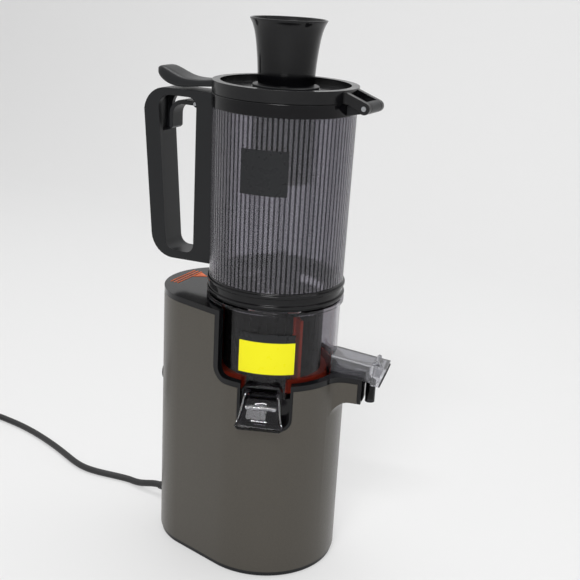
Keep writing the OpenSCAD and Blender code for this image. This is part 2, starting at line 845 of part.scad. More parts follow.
module idler_gear() {
    color(white_c) at_idler() {
        up(gear1_z) gear(wheel_n, gear_w, motor_shaft_r + 0.02, mesh1_a + 180 + 180 / wheel_n);
        up(gear1_z + gear_w) gear(pinion_n, gear_w + 5, motor_shaft_r + 0.02, mesh2_a);
    }
}

module output_gear() {
    color(white_c) {
        difference() {
            union() {
                up(gear2_z) rotate([0, 0, mesh2_a + 180 + 180 / output_n]) linear_extrude(gear_w) gear2d(output_n);
                up(gear2_z - 3) cylinder(r = shaft_r + 4, h = gear_w + 5);
            }
            up(gear2_z - 4) cylinder(r = shaft_r + 0.02, h = gear_w + 8);
        }
    }
}

module drive_shaft() {
    color(metal_c) {
        up(box_z - bearing_w + 2) cylinder(r = shaft_r, h = floor_z - box_z + bearing_w - 2);
        up(floor_z - over) cylinder(r = hex_w / sqrt(3), h = hex_h + over, $fn = 6);
    }
}

module bearings() {
    color(metal_c) {
        tube(2 * shaft_r, shaft_r + run_gap, box_z - bearing_w + over, box_z - 0.2 + over);
        tube(2 * shaft_r, shaft_r + run_gap, cover_z - 0.2, box_top - 0.2);
        at_idler() tube(6, motor_shaft_r + run_gap, box_floor + 1, box_z + 0.8);
        at_idler() tube(6, motor_shaft_r + run_gap, cover_z - 0.5, box_top - 1);
        at_motor() tube(end_bearing_r, motor_shaft_r + run_gap, can_z, can_z + bearing_w);
        at_motor() tube(end_bearing_r, motor_shaft_r + run_gap, box_floor - cap_t, box_floor);
    }
}

module shaft_seal() {
    color(rubber_c) tube(shaft_r + 4 - 0.1, shaft_r + run_gap, floor_z - floor_t + 0.1, floor_z);
}

// ---- electrics ----

module control_board() {
    color(board_c) box(rail_x - board_t / 2, rail_x + board_t / 2, -board_w / 2, board_w / 2,
        base_z + base_t + 3 + fit_gap, base_z + base_t + rail_h + 30);
}

module board_parts() {
    x0 = rail_x + board_t / 2;
    z0 = base_z + base_t + rail_h;
    color(metal_c) {
        box(x0, x0 + 6, -18, -4, z0 - 34, z0 - 16);
        box(x0, x0 + 4, 4, 18, z0 - 40, z0 - 28);
        translate([x0, 11, z0 - 16]) rotate([0, 90, 0]) cylinder(r = 6, h = 8);
        translate([x0, -10, z0 - 4]) rotate([0, 90, 0]) cylinder(r = 5, h = 7);
        box(x0, x0 + 7, -16, 16, z0 + 8, z0 + 20);
    }
}

module rotary_switch() {
    x1 = -(rear_face - 7);
    color(rubber_c) difference() {
        box(x1, x1 + 13, -9, 9, knob_z - 9, knob_z + 9);
        translate([x1 - over, 0, knob_z]) rotate([0, 90, 0]) cylinder(r = knob_stem_r + run_gap, h = 11);
    }
}

module knob_bezel() {
    color(gloss_c) translate([-bezel_x, 0, knob_z]) rotate([0, 90, 0]) difference() {
        cylinder(r = knob_r + bezel_w, h = bezel_x - rear_face + 7);
        up(-over) cylinder(r = knob_stem_r + move_gap, h = 20);
    }
}

module control_knob() {
    color(satin_c) translate([-bezel_x - move_gap, 0, knob_z]) rotate([0, -90, 0]) difference() {
        union() {
            cylinder(r = knob_r, h = knob_h);
            up(-bezel_x + rear_face - 7 - 9) cylinder(r = knob_stem_r, h = bezel_x - rear_face + 7 + 9 + over);
        }
        for (s = [-1, 1]) translate([-knob_r - over, s * (knob_r * 0.62) - knob_r * 0.4, knob_h - 3])
            cube([2 * knob_r + 2 * over, knob_r * 0.8, 4]);
    }
}

module cord_gland() {
    color(rubber_c) translate([gland_x, cord_y, cord_z]) rotate([0, -90, 0]) {
        up(-gland_in) cylinder(r = gland_r, h = gland_in);
        difference() {
            up(-gland_in) cylinder(r = gland_r + 2, h = 3);
            translate([-gland_r - 3, -gland_r - 3, -gland_in - over]) cube([3 + fit_gap, 2 * gland_r + 6, 5]);
        }
        cylinder(r = gland_r + 1.2, h = 2);
        cylinder(r1 = gland_r, r2 = cord_d / 2 + 0.5, h = relief_l);
    }
}

// A round tube swept along a route of points
module sweep(route, r, sides = 8) {
    n = len(route);
    rings = [for (i = [0:n - 1])
        let (d = route[min(i + 1, n - 1)] - route[max(i - 1, 0)],
            t = d / norm(d),
            s = cross([0, 0, 1], t) / norm(cross([0, 0, 1], t)),
            u = cross(t, s))
        each [for (k = [0:sides - 1]) route[i] + r * (cos(360 * (k + 0.5) / sides) * s + sin(360 * (k + 0.5) / sides) * u)]];
    ends = [[for (k = [sides - 1:-1:0]) k], [for (k = [0:sides - 1]) (n - 1) * sides + k]];
    walls = [for (i = [0:n - 2]) for (k = [0:sides - 1])
        let (a = i * sides + k, b = i * sides + (k + 1) % sides)
        each [[a, b, b + sides], [a, b + sides, a + sides]]];
    polyhedron(rings, [for (f = concat(ends, walls)) [for (k = [len(f) - 1:-1:0]) f[k]]]);
}

module power_cord() {
    color(rubber_c) {
        sweep(cord_route, cord_d / 2);
        sweep(tail_route, cord_d / 2);
    }
}

module cord_coil() {
    color(rubber_c) translate([coil_c[0], coil_c[1], cord_lay - cord_d / 2])
        tube(coil_r + cord_d, coil_r - cord_d, 0, 3 * cord_d);
}

module mains_plug() {
    end = tail_route[len(tail_route) - 1];
    color(rubber_c) translate([end[0], end[1], 0]) {
        difference() {
            translate([-plug_w / 2, -plug_l, 0.1]) cube([plug_w, plug_l, plug_t]);
            for (s = [-1, 1]) translate([s * (plug_w / 2 + 14), -plug_l * 0.45, 0]) cylinder(r = 15.5, h = plug_t + over);
        }
        for (s = [-1, 1]) translate([s * blade_gap / 2 - blade_t / 2, -plug_l - blade_l, plug_t / 2 - blade_w / 2])
            cube([blade_t, blade_l + over, blade_w]);
    }
}

// ---- bowl group ----

module bowl() {
    color(clear_c, 0.5) difference() {
        union() {
            tube(bowl_r, bowl_r - bowl_t, bowl_z, bowl_top);
            tube(bowl_r, hub_r, bowl_z, bowl_floor);
            tube(hub_r + 2.5, hub_r, bowl_z, bowl_floor + hub_h);
            tube(ring_r, bowl_r - bowl_t, bowl_top - ring_t, bowl_top);
        }
        at_spout() box(bowl_r - 10, bowl_r + 10, -spout_w / 2 + spout_t, spout_w / 2 - spout_t, spout_z + spout_t,
            spout_z + spout_h - spout_t);
        rotate([0, 0, chute_a]) box(bowl_r - 9, bowl_r + 10, -chute_w / 2 + chute_t + 1, chute_w / 2 - chute_t - 1,
            bowl_z - over, bowl_floor + 8);
    }
}

module hub_seal() {
    color(red_c) tube(hub_r + 5, hub_r + 2.5 + 0.05, bowl_floor, bowl_floor + 4);
}

module juice_spout() {
    z1 = spout_z + spout_h;
    z_low = spout_z - (nozzle_x - bowl_r) * tan(spout_tilt);
    bore_r = nozzle_r - nozzle_t;
    color(clear_c, 0.6) difference() {
        union() {
            at_spout() along_x(bowl_r - 4, spout_end) spout2d(0);
            at_spout() for (s = [-1, 1]) along_y(s * 6.5 - 1.5, s * 6.5 + 1.5)
                polygon(concat([[cap_hinge_x - 5, z1 - over], [spout_end, z1 - over], [spout_end, z1 + 0.3]],
                    arc(cap_hinge_x, cap_hinge_z, cap_knuckle_r, -100, 150, 12)));
            at_arm() translate([nozzle_x, 0, z_low - nozzle_h]) cylinder(r = nozzle_r, h = nozzle_h + spout_t * 0.6);
        }
        at_spout() along_x(bowl_r - 5, spout_end - spout_t) spout2d(spout_t);
        at_spout() box(spout_end - spout_t - over, nozzle_x, -bore_r + 0.1, bore_r - 0.1, spout_z + spout_t,
            spout_z + spout_t + 6);
        at_arm() translate([nozzle_x, 0, z_low - nozzle_h - over]) cylinder(r = bore_r, h = nozzle_h + spout_t + 6);
        up(spout_z - over) cylinder(r = bowl_r + 0.1, h = spout_h + 5);
        at_spout() translate([cap_hinge_x, 0, cap_hinge_z]) rotate([90, 0, 0])
            cylinder(r = cap_pin_r + 0.01, h = 40, center = true);
    }
}

// The spout's section: flat on top, rounded below
module spout2d(inset) {
    y = spout_w / 2 - inset;
    r = 6 - inset;
    z0 = spout_z + inset;
    z1 = spout_z + spout_h - inset;
    polygon(concat([[y, z1], [-y, z1]], arc(-y + r, z0 + r, r, 180, 270, 6), arc(y - r, z0 + r, r, 270, 360, 6)));
}

module cap_pin() {
    color(metal_c) at_spout() translate([cap_hinge_x, 0, cap_hinge_z]) rotate([90, 0, 0])
        cylinder(r = cap_pin_r, h = 16, center = true);
}

// Outline in XZ of the spout's cap, drawn inwards by inset
module cap2d(inset) {
    x0 = spout_end + move_gap;
    z0 = spout_z + 0.5;
    z1 = spout_z + spout_h;
    k = inset * 1.15;
    polygon([[x0 - (inset > 0 ? over : 0), z0 - (inset > 0 ? over : 0)],
        [x0 + cap_out - cap_lean - k - (inset > 0 ? 0.5 : 0), z0 - (inset > 0 ? over : 0)],
        [x0 + cap_out - k - (inset > 0 ? 0.8 : 0), z1 - inset], [x0 - (inset > 0 ? over : 0), z1 - inset]]);
}

module spout_cap() {
    y = spout_w / 2;
    z1 = spout_z + spout_h;
    color(clear_c, 0.5) at_spout() difference() {
        union() {
            along_y(-y, y) cap2d(0);
            along_y(-4.7, 4.7) polygon(concat([[cap_hinge_x + 5, z1 - 0.5], [cap_hinge_x + 0.5, z1 - 0.5]],
                arc(cap_hinge_x, cap_hinge_z, cap_knuckle_r, 230, 30, 8)));
        }
        along_y(-y + 1.8, y - 1.8) cap2d(1.8);
        translate([cap_hinge_x, 0, cap_hinge_z]) rotate([90, 0, 0])
            cylinder(r = cap_pin_r + run_gap, h = 40, center = true);
    }
}

module cap_gasket() {
    x0 = spout_end + move_gap + cap_out - cap_lean;
    z0 = spout_z + 0.5;
    z1 = spout_z + spout_h - 3;
    lean = cap_lean * (z1 - z0) / (spout_h - 0.5);
    y = spout_w / 2;
    color(rubber_c) at_spout() along_y(-y, y)
        polygon([[x0 + 0.05, z0], [x0 + 1.4, z0], [x0 + lean + 1.4, z1], [x0 + lean + 0.05, z1]]);
}

module pulp_chute() {
    z_lip = recess_z + chute_lip_z;
    r_top = bowl_r - 5;
    slope = (bowl_floor - 2 - z_lip) / (chute_reach - r_top);
    function chute_z(r) = z_lip + slope * (chute_reach - r);
    w = chute_w / 2;
    color(clear_c, 0.6) rotate([0, 0, chute_a]) difference() {
        union() {
            along_y(-w, w) polygon([[r_top, chute_z(r_top)], [chute_reach, z_lip], [chute_reach, z_lip + chute_t],
                [chute_reach - 2, z_lip + chute_wall], [r_top, chute_z(r_top) + chute_wall + 2]]);
            along_y(-w, w) polygon([[r_top, bowl_floor + 8.2], [bowl_r + 5, bowl_floor + 8.2],
                [bowl_r + 5, bowl_floor + 10], [r_top, bowl_floor + 10]]);
            for (s = [-1, 1]) along_y(s * (w - chute_t / 2) - chute_t / 2, s * (w - chute_t / 2) + chute_t / 2)
                polygon([[r_top, chute_z(r_top) + over], [bowl_r + 5, chute_z(bowl_r + 5) + over],
                    [bowl_r + 5, bowl_floor + 10], [r_top, bowl_floor + 10]]);
        }
        along_y(-w + chute_t, w - chute_t) polygon([[r_top - over, chute_z(r_top - over) + chute_t * 1.4],
            [chute_reach - 1, z_lip + chute_t * 1.4], [chute_reach + 5, z_lip + chute_t * 1.4],
            [chute_reach + 5, bowl_floor + 8.2], [r_top - over, bowl_floor + 8.2]]);
        up(recess_z) cylinder(r = bowl_r + 0.1, h = 100);
    }
}

module strainer() {
    color(gloss_c) difference() {
        union() {
            tube(strainer_r, strainer_r - strainer_t, strainer_z, strainer_top);
            tube(strainer_r, hub_r + 6, strainer_z, strainer_z + 2);
            tube(strainer_r + 1.5, strainer_r - strainer_t, strainer_top - 4, strainer_top);
        }
        for (i = [0:slots - 1]) rotate([0, 0, 360 * i / slots])
            translate([strainer_r - strainer_t - over, -slot_w / 2, strainer_z + 14])
                cube([strainer_t + 2 * over, slot_w, strainer_top - strainer_z - 26]);
    }
}

module silicone_scraper() {
    color(red_c) {
        difference() {
            up(strainer_z) cylinder(r1 = bowl_r - bowl_t - 4, r2 = strainer_r + 5, h = 9);
            up(strainer_z - over) cylinder(r = strainer_r + fit_gap, h = 20);
            rotate([0, 0, chute_a]) box(strainer_r - 5, bowl_r, -chute_w / 2, chute_w / 2, strainer_z - over, strainer_z + 20);
        }
        for (a = [-38, 70, 180]) rotate([0, 0, a])
            box(strainer_r + 1.5 + fit_gap, bowl_r - bowl_t - 0.5, -1.2, 1.2, strainer_z + 8, strainer_top - 6);
        for (a = [-38, 70, 180]) rotate([0, 0, a])
            box(strainer_r + fit_gap, strainer_r + 2, -2.5, 2.5, strainer_z + 8, strainer_top - 6);
    }
}

module bowl_panel() {
    a = 48;
    color(yellow_c) rotate([0, 0, -68 - a / 2]) rotate_extrude(angle = a)
        translate([bowl_r + 0.05, bowl_z + 22]) square([0.4, 28]);
}

module auger() {
    flight_h = strainer_top - auger_z - 3;
    color(gloss_c) difference() {
        union() {
            up(bowl_z + 1) cylinder(r = stem_r, h = auger_z - bowl_z);
            up(auger_z) cylinder(r = flight_r - 2, h = 3);
            up(auger_z + 2) cylinder(r1 = core_r1, r2 = core_r2, h = flight_h + 2);
            up(auger_z + 2.5) linear_extrude(flight_h - 1, twist = -320, slices = 40, segments = 8)
                for (s = [0, 180]) rotate([0, 0, s]) translate([4, -3]) square([flight_r - 5, 6]);
            up(auger_z + flight_h) cylinder(r1 = core_r2, r2 = core_r2 - 6, h = 14);
            along_y(-3, 3) polygon([[-core_r2 + 2, auger_z + flight_h], [core_r2 - 2, auger_z + flight_h],
                [core_r2 + 8, strainer_top + 14], [8, strainer_top + cutter_h], [-2, strainer_top + cutter_h - 3],
                [-core_r2 + 2, strainer_top + 12]]);
        }
        up(bowl_z - over) cylinder(r = hex_w / sqrt(3) + 0.25, h = hex_h + over + 2, $fn = 6);
    }
}

// ---- hopper group ----

module hopper_foot() {
    r_in = drum_r1 - drum_t;
    color(clear_c, 0.5) difference() {
        union() {
            tube(drum_r1, r_in, foot_z, drum_z);
            tube(ring_r, r_in, foot_z + 2, foot_z + 2 + ring_t);
            tube(ring_r, r_in, drum_z - 2 - ring_t, drum_z - 2);
            tube(r_in + over, throat_r, foot_z + 4, foot_z + 6.5);
        }
    }
}

// A ring with the drum's taper, between two heights
module drum_ring(out, r_in_step, z0, z1) {
    function drum_r(z) = drum_r1 + (drum_r2 - drum_r1) * (z - drum_z) / drum_h;
    rotate_extrude() polygon([[drum_r(z0) - r_in_step, z0], [drum_r(z0) + out, z0], [drum_r(z1) + out, z1],
        [drum_r(z1) - r_in_step, z1]]);
}

module hopper_drum() {
    color(clear_c, 0.45) drum_ring(0, drum_t, drum_z, drum_top);
}

module top_band() {
    color(gloss_c) tube(band_r, drum_r2 - drum_t, drum_top, band_top);
}

module hinge_bracket() {
    y = hinge_w / 2 - 5.4;
    color(satin_c) difference() {
        along_y(-y, y) polygon(concat([[band_r - 3, band_top - 10], [hinge_x - 3, hinge_z - knuckle_r]],
            arc(hinge_x, hinge_z, knuckle_r, -120, 120, 12), [[band_r + 4, band_top - 1.5], [band_r - 3, band_top - 1.5]]));
        up(drum_top - 20) cylinder(r = band_r + 0.02, h = 60);
        translate([hinge_x, 0, hinge_z]) rotate([90, 0, 0]) cylinder(r = pin_r + 0.01, h = 60, center = true);
    }
}

module hinge_pin() {
    color(metal_c) translate([hinge_x, 0, hinge_z]) rotate([90, 0, 0])
        cylinder(r = pin_r, h = hinge_w + 1, center = true);
}

module handle() {
    r = handle_round;
    low_x = handle_x - handle_lean;
    w = handle_w / 2;
    color(satin_c) difference() {
        along_y(-w, w) polygon(concat([[-(drum_r1 - 6), handle_z]],
            arc(-(low_x - r), handle_z + r - 1.5, r, 270, 186, 8),
            arc(-(handle_x - r), handle_top - r, r, 174, 90, 8), [[-(drum_r1 - 6), handle_top]]));
        // Window
        along_y(-w - over, w + over) polygon(concat(
            arc(-(post_x + 8), window_z + 8, 8, 360, 270, 6),
            arc(-(window_x - handle_lean - 9), window_z + 9, 9, 270, 186, 6),
            arc(-(window_x - 11), window_top - 11, 11, 174, 90, 6),
            arc(-(post_x + 8), window_top - 8, 8, 90, 0, 6)));
        // Slot for the trigger's root, and the hollow that it swings into
        box(pivot_x - 7, -post_x + 5.5, -trigger_slot, trigger_slot, pivot_z - 6, window_top + 2.5);
        box(-(window_x + 4), pivot_x, -trigger_slot, trigger_slot, window_top - 6, window_top + 2.5);
        box(-(window_x + 4), -(window_x - 12), -trigger_slot, trigger_slot, window_top - 32, window_top + 2.5);
        translate([pivot_x, 0, pivot_z]) rotate([90, 0, 0])
            cylinder(r = trigger_pin_r + 0.01, h = handle_w - 4, center = true);
        up(handle_z - 20) linear_extrude(handle_top - handle_z + 40) circle(r = drum_r1 - 5);
        drum_ring(fit_gap, 10, drum_z - 20, drum_top + 20);
        up(drum_top - 1) cylinder(r = band_r + 0.02, h = 40);
    }
}

module trigger() {
    w = trigger_w / 2;
    r = 13;
    zc = pivot_z + trigger_t / 2 - r;
    xc = hook_x + r;
    color(satin_c) difference() {
        union() {
            along_y(-w, w) polygon(concat([[pivot_x, pivot_z + trigger_t / 2]],
                arc(xc, zc, r, 90, 180, 8), [[hook_x, pivot_z - trigger_h + 2], [hook_x + trigger_t / 2, pivot_z - trigger_h],
                [hook_x + trigger_t, pivot_z - trigger_h + 2]],
                arc(xc, zc, r - trigger_t, 180, 90, 8), [[pivot_x, pivot_z - trigger_t / 2]]));
            translate([pivot_x, 0, pivot_z]) rotate([90, 0, 0]) cylinder(r = 3.4, h = trigger_w, center = true);
        }
        translate([pivot_x, 0, pivot_z]) rotate([90, 0, 0]) cylinder(r = trigger_pin_r + run_gap, h = 60, center = true);
        box(pivot_x - 4.5, pivot_x + 5, spring_y, w + over, pivot_z - 5, pivot_z + 5);
    }
}

module trigger_pin() {
    color(metal_c) translate([pivot_x, 0, pivot_z]) rotate([90, 0, 0])
        cylinder(r = trigger_pin_r, h = handle_w - 5, center = true);
}

// Coil of a torsion spring round the trigger's pin
module trigger_spring() {
    wire_r = 0.55;
    turns = 3;
    color(metal_c) translate([pivot_x, spring_y, pivot_z]) rotate([-90, 0, 0]) rotate_extrude()
        for (i = [0:turns - 1]) translate([trigger_pin_r + 0.1 + wire_r, 0.7 + i * wire_r * 1.9]) circle(r = wire_r, $fn = 24);
}

module drum_panel() {
    a = 38;
    color(rubber_c) rotate([0, 0, -77 - a / 2]) rotate_extrude(angle = a) polygon(panel_outline());
}

// Section of the plain panel on the drum, which follows the drum's taper
function panel_outline() =
    let (z0 = drum_z + 80, z1 = z0 + 36,
        r0 = drum_r1 + (drum_r2 - drum_r1) * (z0 - drum_z) / drum_h + 0.05,
        r1 = drum_r1 + (drum_r2 - drum_r1) * (z1 - drum_z) / drum_h + 0.05)
    [[r0, z0], [r0 + 0.4, z0], [r1 + 0.4, z1], [r1, z1]];

// ---- lid group ----

module lid() {
    r1 = drum_r2 + 0.6;
    tab_x = drum_r2 + tab_reach;
    color(satin_c) difference() {
        union() {
            tube(r1, r1 - lid_ring_w, lid_z, lid_top);
            tube(r1 - 1, tube_r, dish_z - lid_t, dish_z);
            tube(tube_r + tube_t, tube_r, tube_z, dish_z);
            tube(tube_r + tube_t + 1, tube_r, dish_z - over, dish_z + 1.5);
            // Thumb tab, rising to its tip
            intersection() {
                along_y(-tab_w / 2, tab_w / 2) polygon(concat([[-(r1 - 4), lid_z + 1], [-(r1 - 4), lid_top - 1]],
                    [[-(r1 + 14), lid_top - 2]], arc(-(r1 + 30), lid_top + 19, 22, 270, 225, 6),
                    [[-tab_x, lid_top + 3], [-tab_x + 1, lid_top - 1]],
                    arc(-(r1 + 27), lid_top + 17, 25.5, 225, 270, 6), [[-(r1 + 14), lid_z + 1]]));
                union() {
                    up(lid_z - 20) translate([-(tab_x - tab_w / 2), 0, 0]) cylinder(r = tab_w / 2, h = 60);
                    box(-(tab_x - tab_w / 2), 0, -tab_w / 2, tab_w / 2, lid_z - 20, lid_z + 40);
                }
            }
            // Hinge arms
            for (s = [-1, 1]) along_y(s * (hinge_w / 2 - 2.5) - 2.5, s * (hinge_w / 2 - 2.5) + 2.5)
                polygon(concat([[r1 - 4, lid_z], [r1 + 1.5, lid_z]], arc(hinge_x, hinge_z, knuckle_r, 205, 420, 14),
                    [[r1 - 1, lid_top - 1], [r1 - 4, lid_top - 1]]));
        }
        up(lid_z - 20) cylinder(r = tube_r, h = 60);
        translate([hinge_x, 0, hinge_z]) rotate([90, 0, 0]) cylinder(r = pin_r + run_gap, h = 60, center = true);
    }
}

module lid_gasket() {
    r1 = drum_r2 - drum_t - move_gap;
    color(rubber_c) tube(r1, r1 - 2.5, band_top - 4, lid_z);
}

module plunger() {
    z0 = lid_z - plunger_d;
    w2 = (waist_r + rim_r) / 2;
    color(gloss_c) rotate_extrude() polygon([[0, z0], [plunger_r - 2, z0], [plunger_r, z0 + 3], [plunger_r, stop_z - 2],
        [plunger_r, stop_z + 1.5], [tube_r + tube_t, stop_z + 1.5], [tube_r + tube_t, stop_z + 3.5], [waist_r, stop_z + 3.5],
        [waist_r + 0.6, lid_top + plunger_h * 0.35], [waist_r + 2.1, lid_top + plunger_h * 0.6],
        [waist_r + 4, lid_top + plunger_h * 0.82], [rim_r - 0.5, plunger_top - 1], [rim_r, plunger_top],
        [rim_r - 1.2, plunger_top], [rim_r - plunger_t, plunger_top - 1.5],
        [waist_r + 4 - plunger_t, lid_top + plunger_h * 0.8], [waist_r + 2.1 - plunger_t, lid_top + plunger_h * 0.58],
        [waist_r + 0.6 - plunger_t, lid_top + plunger_h * 0.34], [waist_r - plunger_t, lid_top + 2], [0, lid_top + 2]]);
}

// ---- the model ----

base_plate();
rubber_feet();
base_screws();
body_shell();
cradle();
lock_marks();
gearbox_housing();
gearbox_cover();
gearbox_screws();
motor_can();
motor_magnets();
motor_screws();
motor_rotor();
drive_pinion();
cooling_fan();
idler_shaft();
idler_gear();
output_gear();
drive_shaft();
bearings();
shaft_seal();
control_board();
board_parts();
rotary_switch();
knob_bezel();
control_knob();
cord_gland();
power_cord();
cord_coil();
mains_plug();
bowl();
hub_seal();
juice_spout();
cap_pin();
spout_cap();
cap_gasket();
pulp_chute();
strainer();
silicone_scraper();
bowl_panel();
auger();
hopper_foot();
hopper_drum();
top_band();
hinge_bracket();
hinge_pin();
handle();
trigger();
trigger_pin();
trigger_spring();
drum_panel();
lid();
lid_gasket();
plunger();
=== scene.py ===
"""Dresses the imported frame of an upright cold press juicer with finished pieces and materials."""

import json
import math

import bmesh
import bpy
from mathutils import Matrix, Vector

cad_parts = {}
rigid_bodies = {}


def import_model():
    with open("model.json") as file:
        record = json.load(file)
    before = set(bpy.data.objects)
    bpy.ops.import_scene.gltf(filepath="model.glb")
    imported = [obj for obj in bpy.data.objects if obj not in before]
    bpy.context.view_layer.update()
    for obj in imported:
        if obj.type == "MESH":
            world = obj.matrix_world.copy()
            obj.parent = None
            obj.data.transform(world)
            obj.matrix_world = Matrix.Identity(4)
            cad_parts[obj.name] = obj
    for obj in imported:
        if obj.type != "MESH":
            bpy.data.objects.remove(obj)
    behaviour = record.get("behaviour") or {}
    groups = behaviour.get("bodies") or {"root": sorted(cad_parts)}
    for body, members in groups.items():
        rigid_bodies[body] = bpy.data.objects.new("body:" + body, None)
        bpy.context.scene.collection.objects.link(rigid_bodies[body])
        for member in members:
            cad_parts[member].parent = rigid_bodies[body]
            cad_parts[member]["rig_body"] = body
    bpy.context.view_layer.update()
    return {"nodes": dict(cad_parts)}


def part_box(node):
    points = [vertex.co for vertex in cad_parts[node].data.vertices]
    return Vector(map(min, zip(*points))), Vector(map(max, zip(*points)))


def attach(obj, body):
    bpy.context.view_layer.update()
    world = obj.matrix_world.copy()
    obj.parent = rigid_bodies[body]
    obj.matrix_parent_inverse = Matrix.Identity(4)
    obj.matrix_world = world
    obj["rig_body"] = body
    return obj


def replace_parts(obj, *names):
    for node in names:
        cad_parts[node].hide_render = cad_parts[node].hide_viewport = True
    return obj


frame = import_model()

bl_info = {
    "name": "Cold press juicer",
    "version": (1, 0, 0),
    "blender": (4, 5, 0),
    "location": "View3D > Sidebar > Juicer",
    "description": "Builds the dressed pieces, materials and stage of an upright cold press juicer",
    "category": "Object",
}

MM = 0.001


def linear(code):
    """Turn an sRGB hex colour into a linear RGBA colour."""
    channels = [int(code[i:i + 2], 16) / 255 for i in (1, 3, 5)]
    return tuple(c / 12.92 if c <= 0.04045 else ((c + 0.055) / 1.055) ** 2.4 for c in channels) + (1.0,)


def per_metre(millimetres):
    """Scale of a texture whose feature is this many millimetres across."""
    return 1 / (millimetres * MM)


# ---- sizes and colours that a user would change ----


def length(name, description, millimetres):
    """A size given in millimetres and kept in metres."""
    return bpy.props.FloatProperty(name=name, description=description, default=millimetres * MM,
                                   unit="LENGTH", precision=5)


def colour(name, description, code):
    """A colour given as sRGB hex and kept linear."""
    return bpy.props.FloatVectorProperty(name=name, description=description, default=linear(code),
                                         size=4, subtype="COLOR", min=0, max=1)


class JuicerSizes(bpy.types.PropertyGroup):
    """Sizes of the dressed pieces."""

    edge: length("Moulded edge", "Rounding of a moulded part's edges", 0.8)
    fine_edge: length("Fine edge", "Rounding of a small part's edges", 0.35)
    grip_edge: length("Grip edge", "Rounding of the handle's and the plug's edges", 1.6)
    trigger_edge: length("Trigger edge", "Rounding of the trigger's edges", 1.52)
    rim_edge: length("Rim edge", "Rounding of the cradle's rim", 1.76)
    drum_foot: length("Drum foot radius", "Outer radius of the hopper's drum at its foot", 57.8)
    drum_wall: length("Drum wall", "Wall thickness of the hopper's drum", 2.5)
    groove_pitch: length("Groove pitch", "Distance from one groove of the drum to the next", 4.0)
    groove_depth: length("Groove depth", "Depth of the drum's grooves", 0.3)
    cord_width: length("Cord diameter", "Diameter of the mains cord", 6.6)
    coil_radius: length("Coil radius", "Radius of the coil at the middle of its turns", 36.0)
    coil_turns: bpy.props.FloatProperty(name="Coil turns", description="Turns in the stored coil",
                                        default=4.25)


class JuicerColours(bpy.types.PropertyGroup):
    """Colours of the finishes."""

    paint: colour("Paint", "Metallic taupe paint of the housing", "#4B4740")
    gloss: colour("Gloss black", "Polished black plastic", "#070709")
    satin: colour("Satin black", "Finely textured black plastic", "#141517")
    smoke: colour("Smoked plastic", "Tint of one wall of the clear parts", "#B5B3B8")
    dark_smoke: colour("Dark smoked plastic", "Tint of the chute's hood and the drip nozzle", "#26262A")
    silicone: colour("Silicone", "Red silicone wipers and seals", "#DD4A2B")
    yellow: colour("Yellow film", "Plain yellow panel", "#EEE70C")
    orange: colour("Orange print", "Lock marks on the deck", "#E8703C")


class JuicerView(bpy.types.PropertyGroup):
    """Place and lens of the camera."""

    place: bpy.props.FloatVectorProperty(name="Place", description="Where the camera stands",
                                         default=(0.373, -0.736, 0.518), subtype="TRANSLATION",
                                         unit="LENGTH")
    azimuth: bpy.props.FloatProperty(name="Azimuth", description="Turn of the view round the object",
                                     default=math.radians(26), subtype="ANGLE")
    pitch: bpy.props.FloatProperty(name="Pitch", description="Tilt of the view below the horizon",
                                   default=math.radians(18.2), subtype="ANGLE")
    roll: bpy.props.FloatProperty(name="Roll", description="Roll of the camera",
                                  default=math.radians(3.2), subtype="ANGLE")
    lens: bpy.props.FloatProperty(name="Lens", description="Focal length in millimetres", default=62.07)


# Height where the drip nozzle leaves the spout
NOZZLE_TOP = 174.2 * MM
# Direction of the pulp chute round the drive's axis, in degrees from +X
CHUTE_ANGLE = -69.5
# Where the lid's plain tab ends under the swept one
LID_TAB_START = -60.3 * MM
# Height on which the plunger's collar rests
PLUNGER_STOP = 418.8 * MM
# Corners closer than this are one corner, and edges shorter than this are slivers
WELD = 0.002 * MM
SLIVER = 0.005 * MM

# ---- materials ----


def add(tree, kind, inputs=None, **settings):
    """Add a shader node, set its values and link the inputs that are given as (node, output)."""
    item = tree.nodes.new("ShaderNode" + kind)
    for name, value in settings.items():
        setattr(item, name, value)
    for socket, value in (inputs or {}).items():
        if isinstance(value, tuple) and isinstance(value[0], bpy.types.Node):
            tree.links.new(value[0].outputs[value[1]], item.inputs[socket])
        else:
            item.inputs[socket].default_value = value
    return item


def plain(name, values):
    """A new material with a Principled surface, its node tree and its place in object space."""
    material = bpy.data.materials.new(name)
    material.use_nodes = True
    tree = material.node_tree
    tree.nodes.clear()
    surface = add(tree, "BsdfPrincipled", values)
    add(tree, "OutputMaterial", {"Surface": (surface, "BSDF")})
    place = add(tree, "TexCoord")
    return material, tree, surface, place


def link(tree, source, output, target, socket):
    """Link an output of one shader node to an input of another."""
    tree.links.new(source.outputs[output], target.inputs[socket])


def grain(tree, surface, place, size, height, roughness=None, detail=2.0):
    """Bump, height millimetres deep, and a little change of roughness from grain of size millimetres.

    The grain of real mouldings is 0.1 mm or finer: the sizes given are coarser, so that it shows.
    """
    noise = add(tree, "TexNoise", {"Vector": (place, "Object"), "Scale": per_metre(size), "Detail": detail})
    bump = add(tree, "Bump", {"Height": (noise, "Fac"), "Distance": height * MM, "Strength": 1.0})
    link(tree, bump, "Normal", surface, "Normal")
    if roughness:
        spread = add(tree, "MapRange", {"Value": (noise, "Fac"), "From Min": 0.3, "From Max": 0.7,
                                        "To Min": roughness[0], "To Max": roughness[1]})
        link(tree, spread, "Result", surface, "Roughness")


def smudges(tree, surface, place, size, low, high):
    """Slow changes of roughness, as handling leaves on a polished surface."""
    noise = add(tree, "TexNoise", {"Vector": (place, "Object"), "Scale": per_metre(size), "Detail": 3.0})
    spread = add(tree, "MapRange", {"Value": (noise, "Fac"), "From Min": 0.35, "From Max": 0.7,
                                    "To Min": low, "To Max": high})
    link(tree, spread, "Result", surface, "Roughness")


